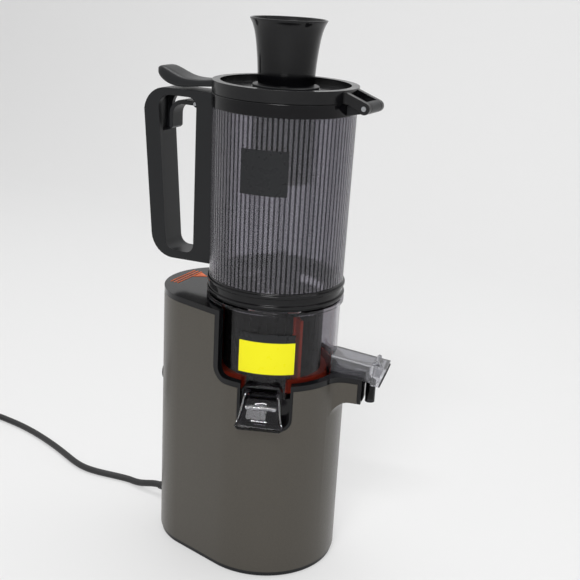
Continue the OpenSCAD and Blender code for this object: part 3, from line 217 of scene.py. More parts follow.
def metallic_paint(colours):
    """Sprayed metallic paint on ABS: a taupe that lightens where it faces the light, with fine flakes."""
    material, tree, surface, place = plain("sprayed_metallic_paint", {
        "Metallic": 0.55, "Coat Weight": 0.3, "Coat Roughness": 0.18})
    # Real flakes are about 0.05 mm across: these are drawn coarser so that they show
    flakes = add(tree, "TexNoise", {"Vector": (place, "Object"), "Scale": per_metre(0.8), "Detail": 1.0})
    base, spread = colours.paint[:3], 0.18
    darker = tuple(c * (1 - spread) for c in base) + (1.0,)
    lighter = tuple(min(1.0, c * (1 + spread)) for c in base) + (1.0,)
    blend = add(tree, "Mix", {0: (flakes, "Fac"), 6: darker, 7: lighter}, data_type="RGBA")
    link(tree, blend, 2, surface, "Base Color")
    grain(tree, surface, place, 1.4, 0.012, (0.38, 0.46))
    return material


def polished_abs(colours):
    """Polished injection-moulded ABS: deep black with clear, slightly uneven reflections."""
    material, tree, surface, place = plain("polished_black_abs", {
        "Base Color": colours.gloss[:], "IOR": 1.54, "Specular IOR Level": 0.26})
    smudges(tree, surface, place, 30, 0.07, 0.16)
    return material


def textured_abs(colours):
    """Spark-eroded satin ABS: dark grey with a fine even grain that spreads its highlights."""
    material, tree, surface, place = plain("textured_black_abs", {
        "Base Color": colours.satin[:], "IOR": 1.5, "Specular IOR Level": 0.3})
    grain(tree, surface, place, 0.7, 0.012, (0.3, 0.4))
    return material


def semi_gloss_abs(colours):
    """Lightly polished ABS: near black, with soft-edged bright reflections along its rims."""
    material, tree, surface, place = plain("semi_gloss_black_abs", {
        "Base Color": colours.gloss[:], "IOR": 1.52, "Specular IOR Level": 0.38})
    smudges(tree, surface, place, 24, 0.17, 0.27)
    return material


def smoked(name, tint, low=0.015, high=0.05, ior=1.32, clear=1.0):
    """Moulded copolyester, clear with a smoke-grey dye: dark by layers, with sharp edge lights.

    The index is mostly set below the real 1.57, so that the many thin walls bend and reflect less.
    """
    material, tree, surface, place = plain(name, {
        "Base Color": tint, "IOR": ior, "Transmission Weight": clear})
    smudges(tree, surface, place, 18, low, high)
    return material


def strainer_black(colours):
    """Moulded glass-filled nylon with mesh: dull black that hardly reflects inside the bowl."""
    material, tree, surface, place = plain("moulded_black_nylon", {
        "Base Color": colours.gloss[:], "IOR": 1.48, "Specular IOR Level": 0.12})
    smudges(tree, surface, place, 6, 0.255, 0.36)
    return material


def silicone(colours):
    """Moulded silicone: soft red with a faint bloom that hides hard reflections."""
    material, tree, surface, place = plain("moulded_red_silicone", {
        "Base Color": colours.silicone[:], "IOR": 1.43, "Subsurface Weight": 0.12,
        "Subsurface Scale": 1.5 * MM})
    grain(tree, surface, place, 1.1, 0.02, (0.32, 0.48))
    return material


def soft_black(name, code, size, height, low, high):
    """Matte black rubber or flexible PVC, with a grain of the given size."""
    material, tree, surface, place = plain(name, {"Base Color": linear(code), "IOR": 1.5})
    grain(tree, surface, place, size, height, (low, high))
    return material


def machined_steel():
    """Turned steel: grey with fine rings along its length that stretch the highlights."""
    # Turning marks are about 0.1 mm apart: they are drawn coarser so that they show
    material, tree, surface, place = plain("turned_steel", {
        "Base Color": linear("#A7A9AC"), "Metallic": 1.0, "Roughness": 0.28, "Anisotropic": 0.3})
    rings = add(tree, "TexWave", {"Vector": (place, "Object"), "Scale": per_metre(1.2), "Distortion": 0.4,
                                  "Detail": 1.0}, wave_type="BANDS", bands_direction="Z")
    bump = add(tree, "Bump", {"Height": (rings, "Fac"), "Distance": 0.008 * MM})
    link(tree, bump, "Normal", surface, "Normal")
    return material


def cast_zinc():
    """Die-cast zinc: pale matt metal with a cloudy skin."""
    material, tree, surface, place = plain("die_cast_zinc", {
        "Base Color": linear("#9A9C9F"), "Metallic": 0.9})
    grain(tree, surface, place, 1.6, 0.05, (0.42, 0.6), detail=4.0)
    return material


def acetal():
    """Natural acetal: milky white, waxy gear plastic."""
    material, tree, surface, place = plain("natural_acetal", {
        "Base Color": linear("#DDDBD2"), "IOR": 1.48, "Subsurface Weight": 0.15, "Subsurface Scale": 2 * MM})
    grain(tree, surface, place, 2.0, 0.01, (0.3, 0.4))
    return material


def circuit_laminate():
    """Glass-epoxy laminate with green solder mask: faint weave under a glossy lacquer."""
    # The weave is about 0.5 mm: it is drawn coarser so that it shows
    material, tree, surface, place = plain("green_glass_epoxy", {"IOR": 1.55, "Roughness": 0.3})
    weave = add(tree, "TexChecker", {"Vector": (place, "Object"), "Scale": per_metre(0.8),
                                     "Color1": linear("#1C5334"), "Color2": linear("#236440")})
    link(tree, weave, "Color", surface, "Base Color")
    return material


def printed(name, tint, roughness):
    """Screen-printed ink or film: flat colour with a slightly uneven gloss."""
    material, tree, surface, place = plain(name, {
        "Base Color": tint, "IOR": 1.48, "Specular IOR Level": 0.3})
    smudges(tree, surface, place, 6, roughness * 0.85, roughness * 1.2)
    return material


def make_materials(context):
    """All the finishes by a short name."""
    colours = context.scene.juicer_colours
    return {
        "paint": metallic_paint(colours),
        "gloss": polished_abs(colours),
        "satin": textured_abs(colours),
        "semi_gloss": semi_gloss_abs(colours),
        "strainer": strainer_black(colours),
        "smoke": smoked("smoked_copolyester", colours.smoke[:]),
        # The ribs' milky tint paints pale upright lines, and the grooves' much darker tint paints shade
        # between them
        "rib": smoked("smoked_copolyester_painted_pale_on_the_ribs", linear("#B3B1B8"), 0.02, 0.06,
                      ior=1.3, clear=0.87),
        "groove": smoked("smoked_copolyester_painted_shade_in_the_grooves", linear("#4B494F"), 0.02, 0.06,
                         ior=1.3, clear=0.97),
        # Paler and a little milky: painted sheen that lightens the tube's sides, with strong reflections
        # along the tube
        "spout_smoke_painted_sheen": smoked("pale_smoked_copolyester_with_painted_sheen", linear("#BFBFC4"), 0.04, 0.1,
                              ior=1.6, clear=0.93),
        # Nearly black
        "dark_smoke": smoked("dark_smoked_copolyester", colours.dark_smoke[:]),
        # Grey and clear, dark only by layers
        "chute_smoke": smoked("clear_smoked_copolyester", linear("#8E8B96"), 0.02, 0.07),
        "silicone": silicone(colours),
        "rubber": soft_black("black_rubber", "#1B1B1C", 0.9, 0.03, 0.55, 0.72),
        "cord": soft_black("black_flexible_pvc", "#151516", 1.2, 0.02, 0.38, 0.5),
        "steel": machined_steel(),
        "zinc": cast_zinc(),
        "acetal": acetal(),
        "laminate": circuit_laminate(),
        "ferrite": soft_black("sintered_ferrite", "#1C1C1E", 0.6, 0.02, 0.5, 0.65),
        "yellow": printed("yellow_polyester_film", colours.yellow[:], 0.32),
        "dark_film": printed("black_polyester_film", linear("#1B1C1E"), 0.3),
        "orange": printed("orange_ink", colours.orange[:], 0.5),
    }


# The finishes by a short name, filled by the materials operator
FINISH = {}


def finish(name):
    """The finish of that short name."""
    if name not in FINISH:
        raise RuntimeError(f"the finish {name} has not been made; run the materials operator first")
    return FINISH[name]


# ---- meshes ----


def stored(mesh, name):
    """Keep a bmesh as mesh data under a name."""
    data = bpy.data.meshes.new(name)
    mesh.to_mesh(data)
    mesh.free()
    return data


def new_piece(name, data, body, material):
    """Put a mesh in the scene as a piece that rides on a body and names its finish."""
    piece = bpy.data.objects.new(name, data)
    bpy.context.scene.collection.objects.link(piece)
    if material is not None:
        data.materials.clear()
        data.materials.append(finish(material))
    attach(piece, body)
    return piece


def smooth(data, angle):
    """Shade smooth, with an edge kept sharp where its faces meet at more than the angle in degrees."""
    mesh = bmesh.new()
    mesh.from_mesh(data)
    for face in mesh.faces:
        face.smooth = True
    limit = math.radians(angle)
    for edge in mesh.edges:
        edge.smooth = len(edge.link_faces) == 2 and edge.calc_face_angle(0) < limit
    mesh.to_mesh(data)
    mesh.free()


def round_edges(piece, width, segments=2, angle=32):
    """Bevel the sharp edges of a piece."""
    bevel = piece.modifiers.new("rounded_edges", "BEVEL")
    bevel.width = width
    bevel.segments = segments
    bevel.limit_method = "ANGLE"
    bevel.angle_limit = math.radians(angle)
    bevel.use_clamp_overlap = True
    bevel.harden_normals = True
    bevel.miter_outer = "MITER_ARC"


def dress(node, material, width=None, segments=2, angle=32, cut_left_of=None):
    """Stand a copy of a CAD node in the node's place, with merged flats and rounded edges.

    With cut_left_of, what lies beyond that X is cut off and the cut is closed.
    """
    source = frame["nodes"][node]
    mesh = bmesh.new()
    mesh.from_mesh(source.data)
    bmesh.ops.remove_doubles(mesh, verts=mesh.verts, dist=WELD)
    bmesh.ops.dissolve_degenerate(mesh, edges=mesh.edges, dist=SLIVER)
    flat = math.radians(0.6)
    bmesh.ops.dissolve_limit(mesh, angle_limit=flat, verts=mesh.verts, edges=mesh.edges,
                             use_dissolve_boundaries=False)
    if cut_left_of is not None:
        everything = mesh.verts[:] + mesh.edges[:] + mesh.faces[:]
        bmesh.ops.bisect_plane(mesh, geom=everything, dist=WELD / 2, plane_co=(cut_left_of, 0, 0),
                               plane_no=(-1, 0, 0), clear_outer=True)
        bmesh.ops.holes_fill(mesh, edges=[edge for edge in mesh.edges if edge.is_boundary], sides=0)
    data = stored(mesh, "dressed_" + node)
    smooth(data, angle)
    piece = new_piece("dressed_" + node, data, source["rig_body"], material)
    if width:
        round_edges(piece, width, segments, angle)
    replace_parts(piece, node)
    return piece


def paint_node(node, material):
    """Give a CAD node, which keeps its shape, its finish."""
    source = frame["nodes"][node]
    source.data.materials.clear()
    source.data.materials.append(finish(material))


def lathe(name, profile, steps=128):
    """Turn an outline of (radius, height) points, which starts and ends on the Z axis, round it."""
    mesh = bmesh.new()
    rings = []
    for i in range(steps):
        c, s = math.cos(2 * math.pi * i / steps), math.sin(2 * math.pi * i / steps)
        rings.append([mesh.verts.new((r * c, r * s, z)) for r, z in profile])
    for i in range(steps):
        here, there = rings[i], rings[(i + 1) % steps]
        for k in range(len(profile) - 1):
            mesh.faces.new((here[k], there[k], there[k + 1], here[k + 1]))
    bmesh.ops.remove_doubles(mesh, verts=mesh.verts, dist=WELD / 2)
    bmesh.ops.recalc_face_normals(mesh, faces=mesh.faces)
    return stored(mesh, name)


def loft(name, loops, body, material, angle, width=None):
    """Add a piece that skins a row of closed loops, in millimetres, and closes both ends.

    It is smooth up to the angle in degrees, and its edges are rounded where a width is given.
    """
    mesh = bmesh.new()
    rows = [[mesh.verts.new(Vector(point) * MM) for point in loop] for loop in loops]
    for a, b in zip(rows, rows[1:]):
        for k in range(len(a)):
            j = (k + 1) % len(a)
            mesh.faces.new((a[k], a[j], b[j], b[k]))
    for row in (rows[0], rows[-1]):
        mesh.faces.new(row)
    bmesh.ops.recalc_face_normals(mesh, faces=mesh.faces)
    data = stored(mesh, name)
    smooth(data, angle)
    piece = new_piece(name, data, body, material)
    if width:
        round_edges(piece, width, angle=40)
    return piece


def pillow(count, half_width, low, high, power=5.0):
    """Points (across, height) of a rounded box section between two heights."""
    middle, half = (low + high) / 2, (high - low) / 2
    points = []
    for k in range(count):
        c, s = math.cos(2 * math.pi * k / count), math.sin(2 * math.pi * k / count)
        points.append((half_width * math.copysign(abs(c) ** (2 / power), c),
                       middle + half * math.copysign(abs(s) ** (2 / power), s)))
    return points


def strip(radius, thickness, heights, angles, steps=32):
    """Loops of a thin film bent round the Z axis, in millimetres and degrees."""
    low, high = heights
    section = ((radius, low), (radius + thickness, low), (radius + thickness, high), (radius, high))
    loops = []
    for i in range(steps + 1):
        a = math.radians(angles[0] + (angles[1] - angles[0]) * i / steps)
        loops.append([(r * math.cos(a), r * math.sin(a), z) for r, z in section])
    return loops


def flowing(points, steps=6):
    """A smooth open line through the points, with steps pieces from each to the next."""
    result = []
    last = len(points) - 1
    for i in range(last):
        p0, p1, p2, p3 = (Vector(points[max(0, min(last, i + k))]) for k in (-1, 0, 1, 2))
        for s in range(steps):
            t = s / steps
            result.append(tuple(0.5 * (2 * p1 + (p2 - p0) * t + (2 * p0 - 5 * p1 + 4 * p2 - p3) * t * t
                                       + (3 * p1 - p0 - 3 * p2 + p3) * t ** 3)))
    result.append(tuple(points[-1]))
    return result


# ---- operators ----


class JUICER_OT_materials(bpy.types.Operator):
    """Make the finishes of the juicer's parts"""

    bl_idname = "juicer.materials"
    bl_label = "Materials"

    def execute(self, context):
        FINISH.update(make_materials(context))
        return {"FINISHED"}


class JUICER_OT_camera(bpy.types.Operator):
    """Place the camera"""

    bl_idname = "juicer.camera"
    bl_label = "Camera"

    def execute(self, context):
        view = context.scene.juicer_view
        data = bpy.data.cameras.new("camera")
        data.lens = view.lens
        data.sensor_width = 36
        data.clip_start = 0.05
        camera = bpy.data.objects.new("camera", data)
        context.scene.collection.objects.link(camera)
        az, pitch, roll = view.azimuth, view.pitch, view.roll
        ahead = Vector((-math.sin(az) * math.cos(pitch), math.cos(az) * math.cos(pitch), -math.sin(pitch)))
        level = Vector((math.cos(az), math.sin(az), 0))
        upward = level.cross(ahead)
        right = level * math.cos(roll) + upward * math.sin(roll)
        top = upward * math.cos(roll) - level * math.sin(roll)
        turn = Matrix((right, top, -ahead)).transposed()
        camera.matrix_world = Matrix.Translation(view.place) @ turn.to_4x4()
        context.scene.camera = camera
        return {"FINISHED"}


# The cord's centreline on the table, in millimetres, from the outlet to the coil
CORD_ROUTE = [(-127, 15, 10), (-130, 15, 10), (-135, 15, 9.2), (-142, 15, 7.4), (-150, 15.5, 5.2),
              (-158, 16.5, 3.8), (-166, 17.5, 3.4), (-178, 16.5, 3.4), (-192, 14.5, 3.4), (-206, 13, 3.4),
              (-220, 13.5, 3.4), (-234, 17, 3.4), (-250, 23.5, 3.4), (-268, 31, 3.4), (-288, 38.5, 3.4),
              (-310, 45.5, 3.4), (-334, 51.5, 3.4), (-358, 55.3, 3.4), (-382, 57.2, 3.4)]
# Centre of the coil, and where the cord enters the plug
COIL_CENTRE = (-430, 12)
TAIL_END = (-475.7, -22, 3.4)
# Distance between touching turns of the coil, in cord diameters
TURN_PITCH = 1.02


class JUICER_OT_cord(bpy.types.Operator):
    """Build the mains cord with its coil, the strain relief and the plug"""

    bl_idname = "juicer.cord"
    bl_label = "Cord and plug"

    def coil_points(self, sizes):
        """Centre points of the coil: two turns on the table, two on top of them, then down and out."""
        width = sizes.cord_width / MM
        middle = sizes.coil_radius / MM
        lay = CORD_ROUTE[-1][2]
        cx, cy = COIL_CENTRE
        steps = 16
        # Radius past the middle and height of each turn, in cord diameters
        radius_of = [0.5, -0.5, -0.5, 0.5, 0.5]
        height_of = [0, 0, 1, 1, 1]
        # Each turn moves to the next one's place in its last quarter
        shift_at = 0.75
        # Where the last turn leaves the top, and the part of a turn that it takes to come down
        leave_at, descent = 3.45, 0.6
        points = []
        for i in range(int(sizes.coil_turns * steps) + 1):
            turn = i / steps
            k = min(int(turn), len(radius_of) - 2)
            t = turn - k
            ease = 0 if t < shift_at else (1 - math.cos(math.pi * (t - shift_at) / (1 - shift_at))) / 2
            r = middle + width * (radius_of[k] + (radius_of[k + 1] - radius_of[k]) * ease)
            z = lay + width * TURN_PITCH * (height_of[k] + (height_of[k + 1] - height_of[k]) * ease)
            if turn > leave_at:
                gone = min(1.0, (turn - leave_at) / descent)
                over = math.pi / 2 * (1 - math.cos(math.pi * gone)) / 2
                r = middle + width * (0.5 + TURN_PITCH * math.sin(over))
                z = lay + width * TURN_PITCH * math.cos(over)
            angle = math.pi / 2 + 2 * math.pi * turn
            points.append((cx + r * math.cos(angle), cy + r * math.sin(angle), z))
        return points

    def tie(self, sizes):
        """The soft strap that holds the coil's turns together."""
        width, middle = sizes.cord_width / MM, sizes.coil_radius / MM
        cx, cy = COIL_CENTRE
        half_strap, across, power = 3, width + 0.6, 4.0
        outer = pillow(40, across, 0.35, 2 * width + 0.9, power)
        inner = pillow(40, across - 0.5, 0.75, 2 * width + 0.4, power)
        loops = [[(cx - half_strap, cy - middle + y, z), (cx + half_strap, cy - middle + y, z),
                  (cx + half_strap, cy - middle + y2, z2), (cx - half_strap, cy - middle + y2, z2)]
                 for (y, z), (y2, z2) in zip(outer, inner)]
        return loft("coil_tie", loops + loops[:1], "root", "rubber", 40)

    def execute(self, context):
        sizes = context.scene.juicer_sizes
        points = CORD_ROUTE + self.coil_points(sizes)
        x, y, z = points[-1]
        tail = (0.25, 0.5, 0.75, 1.0)
        points += [(x, y + (TAIL_END[1] - y) * t, z + (TAIL_END[2] - z) * t) for t in tail]
        curve = bpy.data.curves.new("mains_cord", "CURVE")
        curve.dimensions = "3D"
        curve.resolution_u = 3
        curve.bevel_depth = sizes.cord_width / 2
        curve.bevel_resolution = 4
        spline = curve.splines.new("BEZIER")
        spline.bezier_points.add(len(points) - 1)
        for place, target in zip(points, spline.bezier_points):
            target.co = Vector(place) * MM
            target.handle_left_type = target.handle_right_type = "AUTO"
        cord = bpy.data.objects.new("mains_cord", curve)
        context.scene.collection.objects.link(cord)
        curve.materials.append(finish("cord"))
        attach(cord, "root")
        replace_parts(cord, "power_cord", "cord_coil")
        plug = dress("mains_plug", "cord", sizes.grip_edge, 3)
        dress("cord_gland", "rubber", sizes.fine_edge)
        context.view_layer.update()
        self.tie(sizes)
        return {"FINISHED"}


class JUICER_OT_base(bpy.types.Operator):
    """Build the base plate, the feet and the screws under it"""

    bl_idname = "juicer.base"
    bl_label = "Base"

    def execute(self, context):
        sizes = context.scene.juicer_sizes
        dress("base_plate", "satin", sizes.fine_edge)
        dress("rubber_feet", "rubber", sizes.edge)
        dress("base_screws", "steel", sizes.fine_edge)
        return {"FINISHED"}


class JUICER_OT_body(bpy.types.Operator):
    """Build the painted housing, the black cradle and the marks on its deck"""

    bl_idname = "juicer.body"
    bl_label = "Housing"

    def execute(self, context):
        sizes = context.scene.juicer_sizes
        dress("body_shell", "paint", sizes.edge, 3)
        dress("cradle", "gloss", sizes.rim_edge, 4)
        paint_node("lock_marks", "orange")
        return {"FINISHED"}


class JUICER_OT_drive(bpy.types.Operator):
    """Finish the motor, the gears and the shafts"""

    bl_idname = "juicer.drive"
    bl_label = "Drive train"

    finishes = {
        "zinc": ["gearbox_housing", "gearbox_cover"],
        "steel": ["gearbox_screws", "motor_can", "motor_screws", "motor_rotor", "drive_pinion", "idler_shaft",
                  "drive_shaft", "bearings"],
        "ferrite": ["motor_magnets"],
        "satin": ["cooling_fan"],
        "acetal": ["idler_gear", "output_gear"],
        "rubber": ["shaft_seal"],
        "laminate": ["control_board"],
        "gloss": ["board_parts"],
    }

    def execute(self, context):
        for material, nodes in self.finishes.items():
            for node in nodes:
                paint_node(node, material)
        return {"FINISHED"}


class JUICER_OT_controls(bpy.types.Operator):
    """Build the control knob, its bezel and the switch behind it"""

    bl_idname = "juicer.controls"
    bl_label = "Controls"

    def execute(self, context):
        sizes = context.scene.juicer_sizes
        dress("knob_bezel", "gloss", sizes.edge)
        dress("control_knob", "satin", sizes.edge, 3)
        paint_node("rotary_switch", "satin")
        return {"FINISHED"}


class JUICER_OT_bowl(bpy.types.Operator):
    """Build the clear bowl with its spout, cap, chute, strainer and wipers"""

    bl_idname = "juicer.bowl"
    bl_label = "Juice bowl"

    def slide(self, turn):
        """The open slide, which widens and curls to its lip."""
        # Reach, floor height, half width, side wall height
        stations = [(55.5, 168.4, 13.6, 9.0), (59.0, 166.2, 14.0, 9.4), (62.5, 162.2, 14.8, 9.4),
                    (66.0, 156.6, 15.9, 8.8), (69.5, 151.6, 17.2, 7.4), (72.8, 148.6, 18.8, 5.2),
                    (76.2, 147.0, 20.2, 2.8)]
        # Wall thickness, size of the bend at the wall's foot, and how far the walls lean out
        wall, foot, lean = 1.6, 2.6, 0.05
        inner_foot, inner_rise = foot * 0.7, foot + 0.3
        loops = []
        for reach, z, half, side in flowing(stations, 5):
            top = half + side * lean
            section = [(-top, z + side), (-half, z + foot), (-half + foot, z), (half - foot, z),
                       (half, z + foot), (top, z + side), (top - wall, z + side),
                       (half - wall, z + inner_rise), (half - wall - inner_foot, z + wall),
                       (-half + wall + inner_foot, z + wall), (-half + wall, z + inner_rise),
                       (-top + wall, z + side)]
            loops.append([turn @ Vector((reach, y, h)) for y, h in section])
        return loft("pulp_slide", loops, "bowl", "chute_smoke", 35, 0.3 * MM)

    def chute(self):
        """The pulp chute: a hood at the bowl, the slide below it and the rod of its flap."""
        turn = Matrix.Rotation(math.radians(CHUTE_ANGLE), 4, "Z")
        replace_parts(self.slide(turn), "pulp_chute")
        rod_reach, rod_height = 65.6, 163.2
        around = [2 * math.pi * k / 20 for k in range(20)]
        # Place across and radius of the rod, with a small chamfer at both ends
        ends = ((-13.2, 1.0), (-12.8, 1.7), (12.8, 1.7), (13.2, 1.0))
        rod = [[turn @ Vector((rod_reach + q * math.cos(a), y, rod_height + q * math.sin(a)))
                for a in around] for y, q in ends]
        loft("flap_rod", rod, "bowl", "spout_smoke_painted_sheen", 40)
        # Place across and height of the hood's arch: outside from left to right, then back inside
        arch = [(-17.2, 167.5), (-17.2, 177.5), (-14.5, 180.8), (14.5, 180.8), (17.2, 177.5),
                (17.2, 167.5), (15.2, 167.5), (15.2, 176.8), (13.6, 178.8), (-13.6, 178.8),
                (-15.2, 176.8), (-15.2, 167.5)]
        hood = [[turn @ Vector((reach, y, h)) for y, h in arch] for reach in (57.4, 61.6)]
        loft("chute_hood", hood, "bowl", "dark_smoke", 35, 0.4 * MM)

    def skirt(self):
        """The scraper's outer skirt, open at the spout and at the chute."""
        radius, thickness, heights = 52.3, 1.4, (171.9, 184.5)
        for name, angles in (("scraper_skirt_front", (-48, -3)), ("scraper_skirt_back", (27, 269))):
            loft(name, strip(radius, thickness, heights, angles, 48), "bowl", "silicone",
                 30, 0.4 * MM)

    def header(self):
        """The dark strip along the yellow panel's top."""
        radius, thickness, heights, angles = 57.05, 0.4, (218.4, 225.4), (-92, -44)
        loft("panel_header", strip(radius, thickness, heights, angles), "bowl", "dark_film",
             30)

    def execute(self, context):
        sizes = context.scene.juicer_sizes
        dress("bowl", "smoke", sizes.fine_edge)
        spout = dress("juice_spout", "spout_smoke_painted_sheen", sizes.fine_edge)
        # Faces below the nozzle's top get the nearly black tint
        spout.data.materials.append(finish("dark_smoke"))
        for face in spout.data.polygons:
            face.material_index = 1 if face.center.z < NOZZLE_TOP else 0
        dress("spout_cap", "spout_smoke_painted_sheen", sizes.fine_edge)
        dress("cap_gasket", "rubber", sizes.fine_edge)
        self.chute()
        dress("strainer", "strainer")
        dress("silicone_scraper", "silicone", sizes.fine_edge)
        self.skirt()
        paint_node("hub_seal", "silicone")
        paint_node("cap_pin", "steel")
        paint_node("bowl_panel", "yellow")
        self.header()
        return {"FINISHED"}


class JUICER_OT_auger(bpy.types.Operator):
    """Finish the auger"""

    bl_idname = "juicer.auger"
    bl_label = "Auger"

    def execute(self, context):
        dress("auger", "gloss")
        return {"FINISHED"}


class JUICER_OT_hopper(bpy.types.Operator):
    """Build the fluted drum, its foot, the top band and the hinge bracket"""

    bl_idname = "juicer.hopper"
    bl_label = "Hopper"

    def drum(self, sizes):
        """The clear drum: tapered, with grooves outside that stop short of its rim and foot."""
        low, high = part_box("hopper_drum")
        grooves = round(2 * math.pi * sizes.drum_foot / sizes.groove_pitch)
        # Depth of one groove and its rib, as parts of the full depth
        profile = (1.0, 0.6, 0.12, 0, 0, 0, 0, 0, 0.12, 0.6)
        per_groove = len(profile)
        # Steps of each groove that get the darker tint: painted shade along the groove
        dark = (0, 1, per_groove - 2, per_groove - 1)
        steps = grooves * per_groove
        # The ribs stay this far under the panel that lies on them
        sink = 0.06 * MM
        lip = 1.5 * MM
        heights = [low.z, low.z + lip, high.z - lip, high.z]
        cut_in = [0, 1, 1, 0]

        def outer(z):
            return sizes.drum_foot + (high.x - sizes.drum_foot) * (z - low.z) / (high.z - low.z)

        mesh = bmesh.new()
        walls = []
        for i in range(steps):
            c, s = math.cos(2 * math.pi * i / steps), math.sin(2 * math.pi * i / steps)
            depth = sink + sizes.groove_depth * profile[i % per_groove]
            outside = [(outer(z) - d * depth, z) for z, d in zip(heights, cut_in)]
            inside = [(outer(z) - sizes.drum_wall, z) for z in (low.z, high.z)]
            walls.append([[mesh.verts.new((r * c, r * s, z)) for r, z in side]
                          for side in (outside, inside)])
        for i in range(steps):
            (a, p), (b, q) = walls[i], walls[(i + 1) % steps]
            for k in range(len(heights) - 1):
                side = mesh.faces.new((a[k], b[k], b[k + 1], a[k + 1]))
                side.material_index = 1 if i % per_groove in dark else 0
            mesh.faces.new((p[0], q[0], q[1], p[1]))
            mesh.faces.new((a[0], b[0], q[0], p[0]))
            mesh.faces.new((a[-1], b[-1], q[1], p[1]))
        bmesh.ops.recalc_face_normals(mesh, faces=mesh.faces)
        data = stored(mesh, "fluted_drum")
        smooth(data, 50)
        # Pale tint on the ribs and dark tint in the grooves: painted light and painted shade
        for name in ("rib", "groove"):
            data.materials.append(finish(name))
        piece = new_piece("fluted_drum", data, "hopper", None)
        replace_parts(piece, "hopper_drum")

    def execute(self, context):
        sizes = context.scene.juicer_sizes
        self.drum(sizes)
        dress("hopper_foot", "gloss", sizes.edge)
        dress("top_band", "gloss", sizes.edge)
        dress("hinge_bracket", "satin", sizes.fine_edge)
        dress("drum_panel", "dark_film")
        for node in ("hinge_pin", "trigger_pin", "trigger_spring"):
            paint_node(node, "steel")
        return {"FINISHED"}


class JUICER_OT_handle(bpy.types.Operator):
    """Build the handle and its trigger"""

    bl_idname = "juicer.handle"
    bl_label = "Handle"

    def execute(self, context):
        sizes = context.scene.juicer_sizes
        dress("handle", "satin", sizes.grip_edge, 4)
        dress("trigger", "satin", sizes.trigger_edge, 4)
        return {"FINISHED"}


class JUICER_OT_lid(bpy.types.Operator):
    """Build the lid, its gasket and the plunger"""

    bl_idname = "juicer.lid"
    bl_label = "Lid and plunger"

    def tab(self):
        """The thumb tab: a thick swept lever with a round tip."""
        # X, underside, top, half width
        stations = [(-57.0, 415.2, 422.0, 12.6), (-66.0, 414.4, 420.8, 13.0),
                    (-76.0, 413.5, 419.8, 13.0), (-86.0, 412.4, 419.9, 13.0),
                    (-94.0, 411.6, 421.2, 13.0), (-101.0, 411.9, 423.6, 13.0),
                    (-107.0, 413.2, 426.0, 12.8), (-112.0, 415.4, 427.6, 12.2),
                    (-116.0, 418.4, 427.7, 11.0), (-118.4, 421.2, 426.4, 9.0),
                    (-119.2, 423.0, 424.8, 6.5)]
        loops = [[(x, y, z) for y, z in pillow(36, half, low, high)]
                 for x, low, high, half in flowing(stations, 4)]
        loft("thumb_tab", loops, "lid", "satin", 50)

    def plunger(self):
        """The flared plunger as one turned shell with a soft rim."""
        low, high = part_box("plunger")
        rim, top = high.x, high.z
        inner_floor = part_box("lid")[1].z + 2 * MM
        body, collar, waist, wall = 24.3 * MM, 27.4 * MM, 23.2 * MM, 2.2 * MM
        stop = PLUNGER_STOP
        foot = [(0, low.z), (body - 2 * MM, low.z), (body - 0.5 * MM, low.z + 0.6 * MM),
                (body, low.z + 3 * MM)]
        ring = [(body, stop + 1.5 * MM), (collar - 0.4 * MM, stop + 1.5 * MM),
                (collar, stop + 1.9 * MM), (collar, stop + 3.1 * MM),
                (collar - 0.4 * MM, stop + 3.5 * MM)]
        # Radius past the waist and height above the stop, in millimetres
        flare = [(0, 3.5), (0.5, 14), (1.4, 26), (3.2, 40), (5.4, 49)]
        outside = [(waist + r * MM, stop + z * MM) for r, z in flare]
        inside = [(r - wall, z) for r, z in reversed(outside[1:])]
        outside.append((rim - 0.4 * MM, top - 1.4 * MM))
        # Distances in from the rim's radius and down from its top, in millimetres
        soft = [(0.1, 0.7), (0.4, 0.15), (1.0, 0), (1.7, 0.3)]
        crown = [(rim - r * MM, top - z * MM) for r, z in soft] + [(rim - wall, top - 1.2 * MM)]
        floor = [(waist - wall, inner_floor + 1 * MM), (waist - wall - 1 * MM, inner_floor),
                 (0, inner_floor)]
        profile = foot + ring + flowing(outside) + crown + flowing(inside) + floor
        data = lathe("flared_plunger", profile)
        smooth(data, 35)
        piece = new_piece("flared_plunger", data, "plunger", "gloss")
        data.materials.append(finish("satin"))
        for face in data.polygons:
            face.material_index = 1 if face.center.z < stop + 4 * MM else 0
        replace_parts(piece, "plunger")

    def execute(self, context):
        sizes = context.scene.juicer_sizes
        dress("lid", "semi_gloss", sizes.edge, 3, cut_left_of=LID_TAB_START)
        self.tab()
        paint_node("lid_gasket", "rubber")
        self.plunger()
        return {"FINISHED"}


